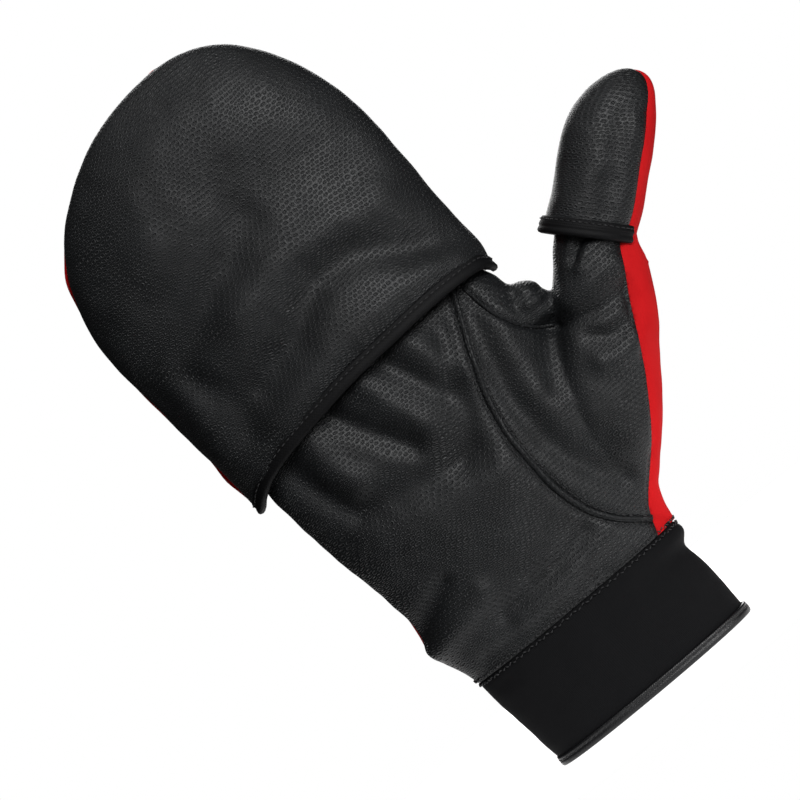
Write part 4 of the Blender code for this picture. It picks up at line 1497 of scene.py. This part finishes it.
def build_cap_binding():
    """Two layers of tape round the cap's mouth, and a row of stitches."""
    angles = np.linspace(CAP_FIRST - CAP_TAPE_PAST, CAP_LAST + CAP_TAPE_PAST, 110)
    turn = np.array(THUMB_FRAME.to_3x3()).T
    for name, foot, grow, height, nodes in CAP_TAPES:
        path = cap_point(foot, angles, grow)
        out = level_outward(path, cap_point(foot, angles, grow + 1))
        path = path + out * unevenness(path, CAP_TAPE_UNEVEN)[:, None]
        profile = tape_profile(height, TAPE * 0.9, roll=0.7)
        piece = sweep(f"thumb_cap_tape_{name}", in_frame(THUMB_FRAME, path), out @ turn, profile)
        dress(piece, "thumb_cap", "binding_tape", *nodes)
    row = in_frame(THUMB_FRAME, path + out * TAPE + [0, 0, 0.9])
    sew("thumb_cap_stitches", "thumb_cap", row, out @ turn, pitch=2.2, length=1.6)


# ------------------------------------------------------------------ stage, lights, camera

CAMERA_AIM = Vector((-5.0, 0.0, 131.5)) * MM
CAMERA_ROLL = math.radians(39.9)
CAMERA_RISE = math.radians(2.0)
CAMERA_AWAY = 1.6
SENSOR_WIDTH = 36.0
VIEW_WIDTH = 0.272

FLOOR_RADIUS = 0.2
FLOOR_PLACE = (0.02, 0.1, -0.0002)
# How bright the white studio is to the camera, and as a light on the mitten.
STUDIO_SEEN = 1.0
STUDIO_LIGHT = 0.04
LIGHT_AIM = Vector((0.0, 0.0, 0.13))


def make_stage():
    bpy.ops.mesh.primitive_circle_add(radius=FLOOR_RADIUS, vertices=96, fill_type="NGON",
                                      location=FLOOR_PLACE)
    floor = bpy.context.object
    floor.name = "floor"
    floor.data.materials.append(floor_material())
    floor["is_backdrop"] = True


def make_world():
    world = bpy.data.worlds.new("studio")
    bpy.context.scene.world = world
    world.use_nodes = True
    tree = world.node_tree
    background = tree.nodes["Background"]
    background.inputs["Color"].default_value = (1, 1, 1, 1)
    rays = tree.nodes.new("ShaderNodeLightPath")
    strength = tree.nodes.new("ShaderNodeMapRange")
    strength.inputs["To Min"].default_value = STUDIO_LIGHT
    strength.inputs["To Max"].default_value = STUDIO_SEEN
    tree.links.new(rays.outputs["Is Camera Ray"], strength.inputs["Value"])
    tree.links.new(strength.outputs[0], background.inputs["Strength"])


def camera_axes():
    """The camera's right, up and backward directions."""
    back = Vector((0, -math.cos(CAMERA_RISE), math.sin(CAMERA_RISE)))
    level_right = Vector((1, 0, 0))
    level_up = back.cross(level_right)
    up = level_up * math.cos(CAMERA_ROLL) + level_right * math.sin(CAMERA_ROLL)
    return up.cross(back), up, back


def make_camera():
    right, up, back = camera_axes()
    data = bpy.data.cameras.new("camera")
    data.sensor_width = SENSOR_WIDTH
    data.lens = SENSOR_WIDTH * CAMERA_AWAY / VIEW_WIDTH
    camera = bpy.data.objects.new("camera", data)
    bpy.context.scene.collection.objects.link(camera)
    turn = Matrix((right, up, back)).transposed().to_4x4()
    camera.matrix_world = Matrix.Translation(CAMERA_AIM + back * CAMERA_AWAY) @ turn
    bpy.context.scene.camera = camera


def area_light(name, place, size, power):
    """A round soft light turned to the middle of the mitten."""
    data = bpy.data.lights.new(name, "AREA")
    data.shape = "DISK"
    data.size = size
    data.energy = power
    light = bpy.data.objects.new(name, data)
    bpy.context.scene.collection.objects.link(light)
    light.location = place
    light.rotation_euler = (LIGHT_AIM - place).to_track_quat("-Z", "Y").to_euler()


def make_lights():
    """Soft light from the camera's upper side, two weak fills, and two for the back and the top."""
    right, up, back = camera_axes()
    area_light("key", LIGHT_AIM + back * 0.78 + up * 0.5 + right * 0.1, 0.5, 8.6)
    area_light("fill", LIGHT_AIM + back * 1.1 + up * 0.3 - right * 0.3, 0.9, 0.9)
    area_light("side", LIGHT_AIM + right * 0.8 + up * 0.1 + back * 0.6, 0.6, 1.5)
    area_light("rear", LIGHT_AIM - back * 1.1 + Vector((0.15, 0, 0.5)), 0.9, 9)
    area_light("top", Vector((0.1, -0.1, 1.3)), 1.0, 3)


def set_view():
    view = bpy.context.scene.view_settings
    view.view_transform = "Standard"
    view.look = "None"


def write_sizes():
    boxes = {"cad": CAD_BOX, "visual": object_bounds()}
    sizes = {name: [list(point) for point in box] for name, box in boxes.items()}


def main():
    make_camera()
    skin = build_glove()
    build_seams(skin)
    build_cuff()
    build_hem()
    build_cuff_seam()
    build_stall_bindings()
    build_hood_palm()
    hood_back = build_hood_back()
    build_hood_lining()
    build_hood_binding()
    build_patch("loop_pile_patch", "loop_patch", "glove", skin)
    build_patch("hook_pile_patch", "hook_patch", "hood", hood_back)
    build_cap()
    build_cap_binding()
    make_stage()
    make_world()
    make_lights()
    set_view()
    write_sizes()


main()
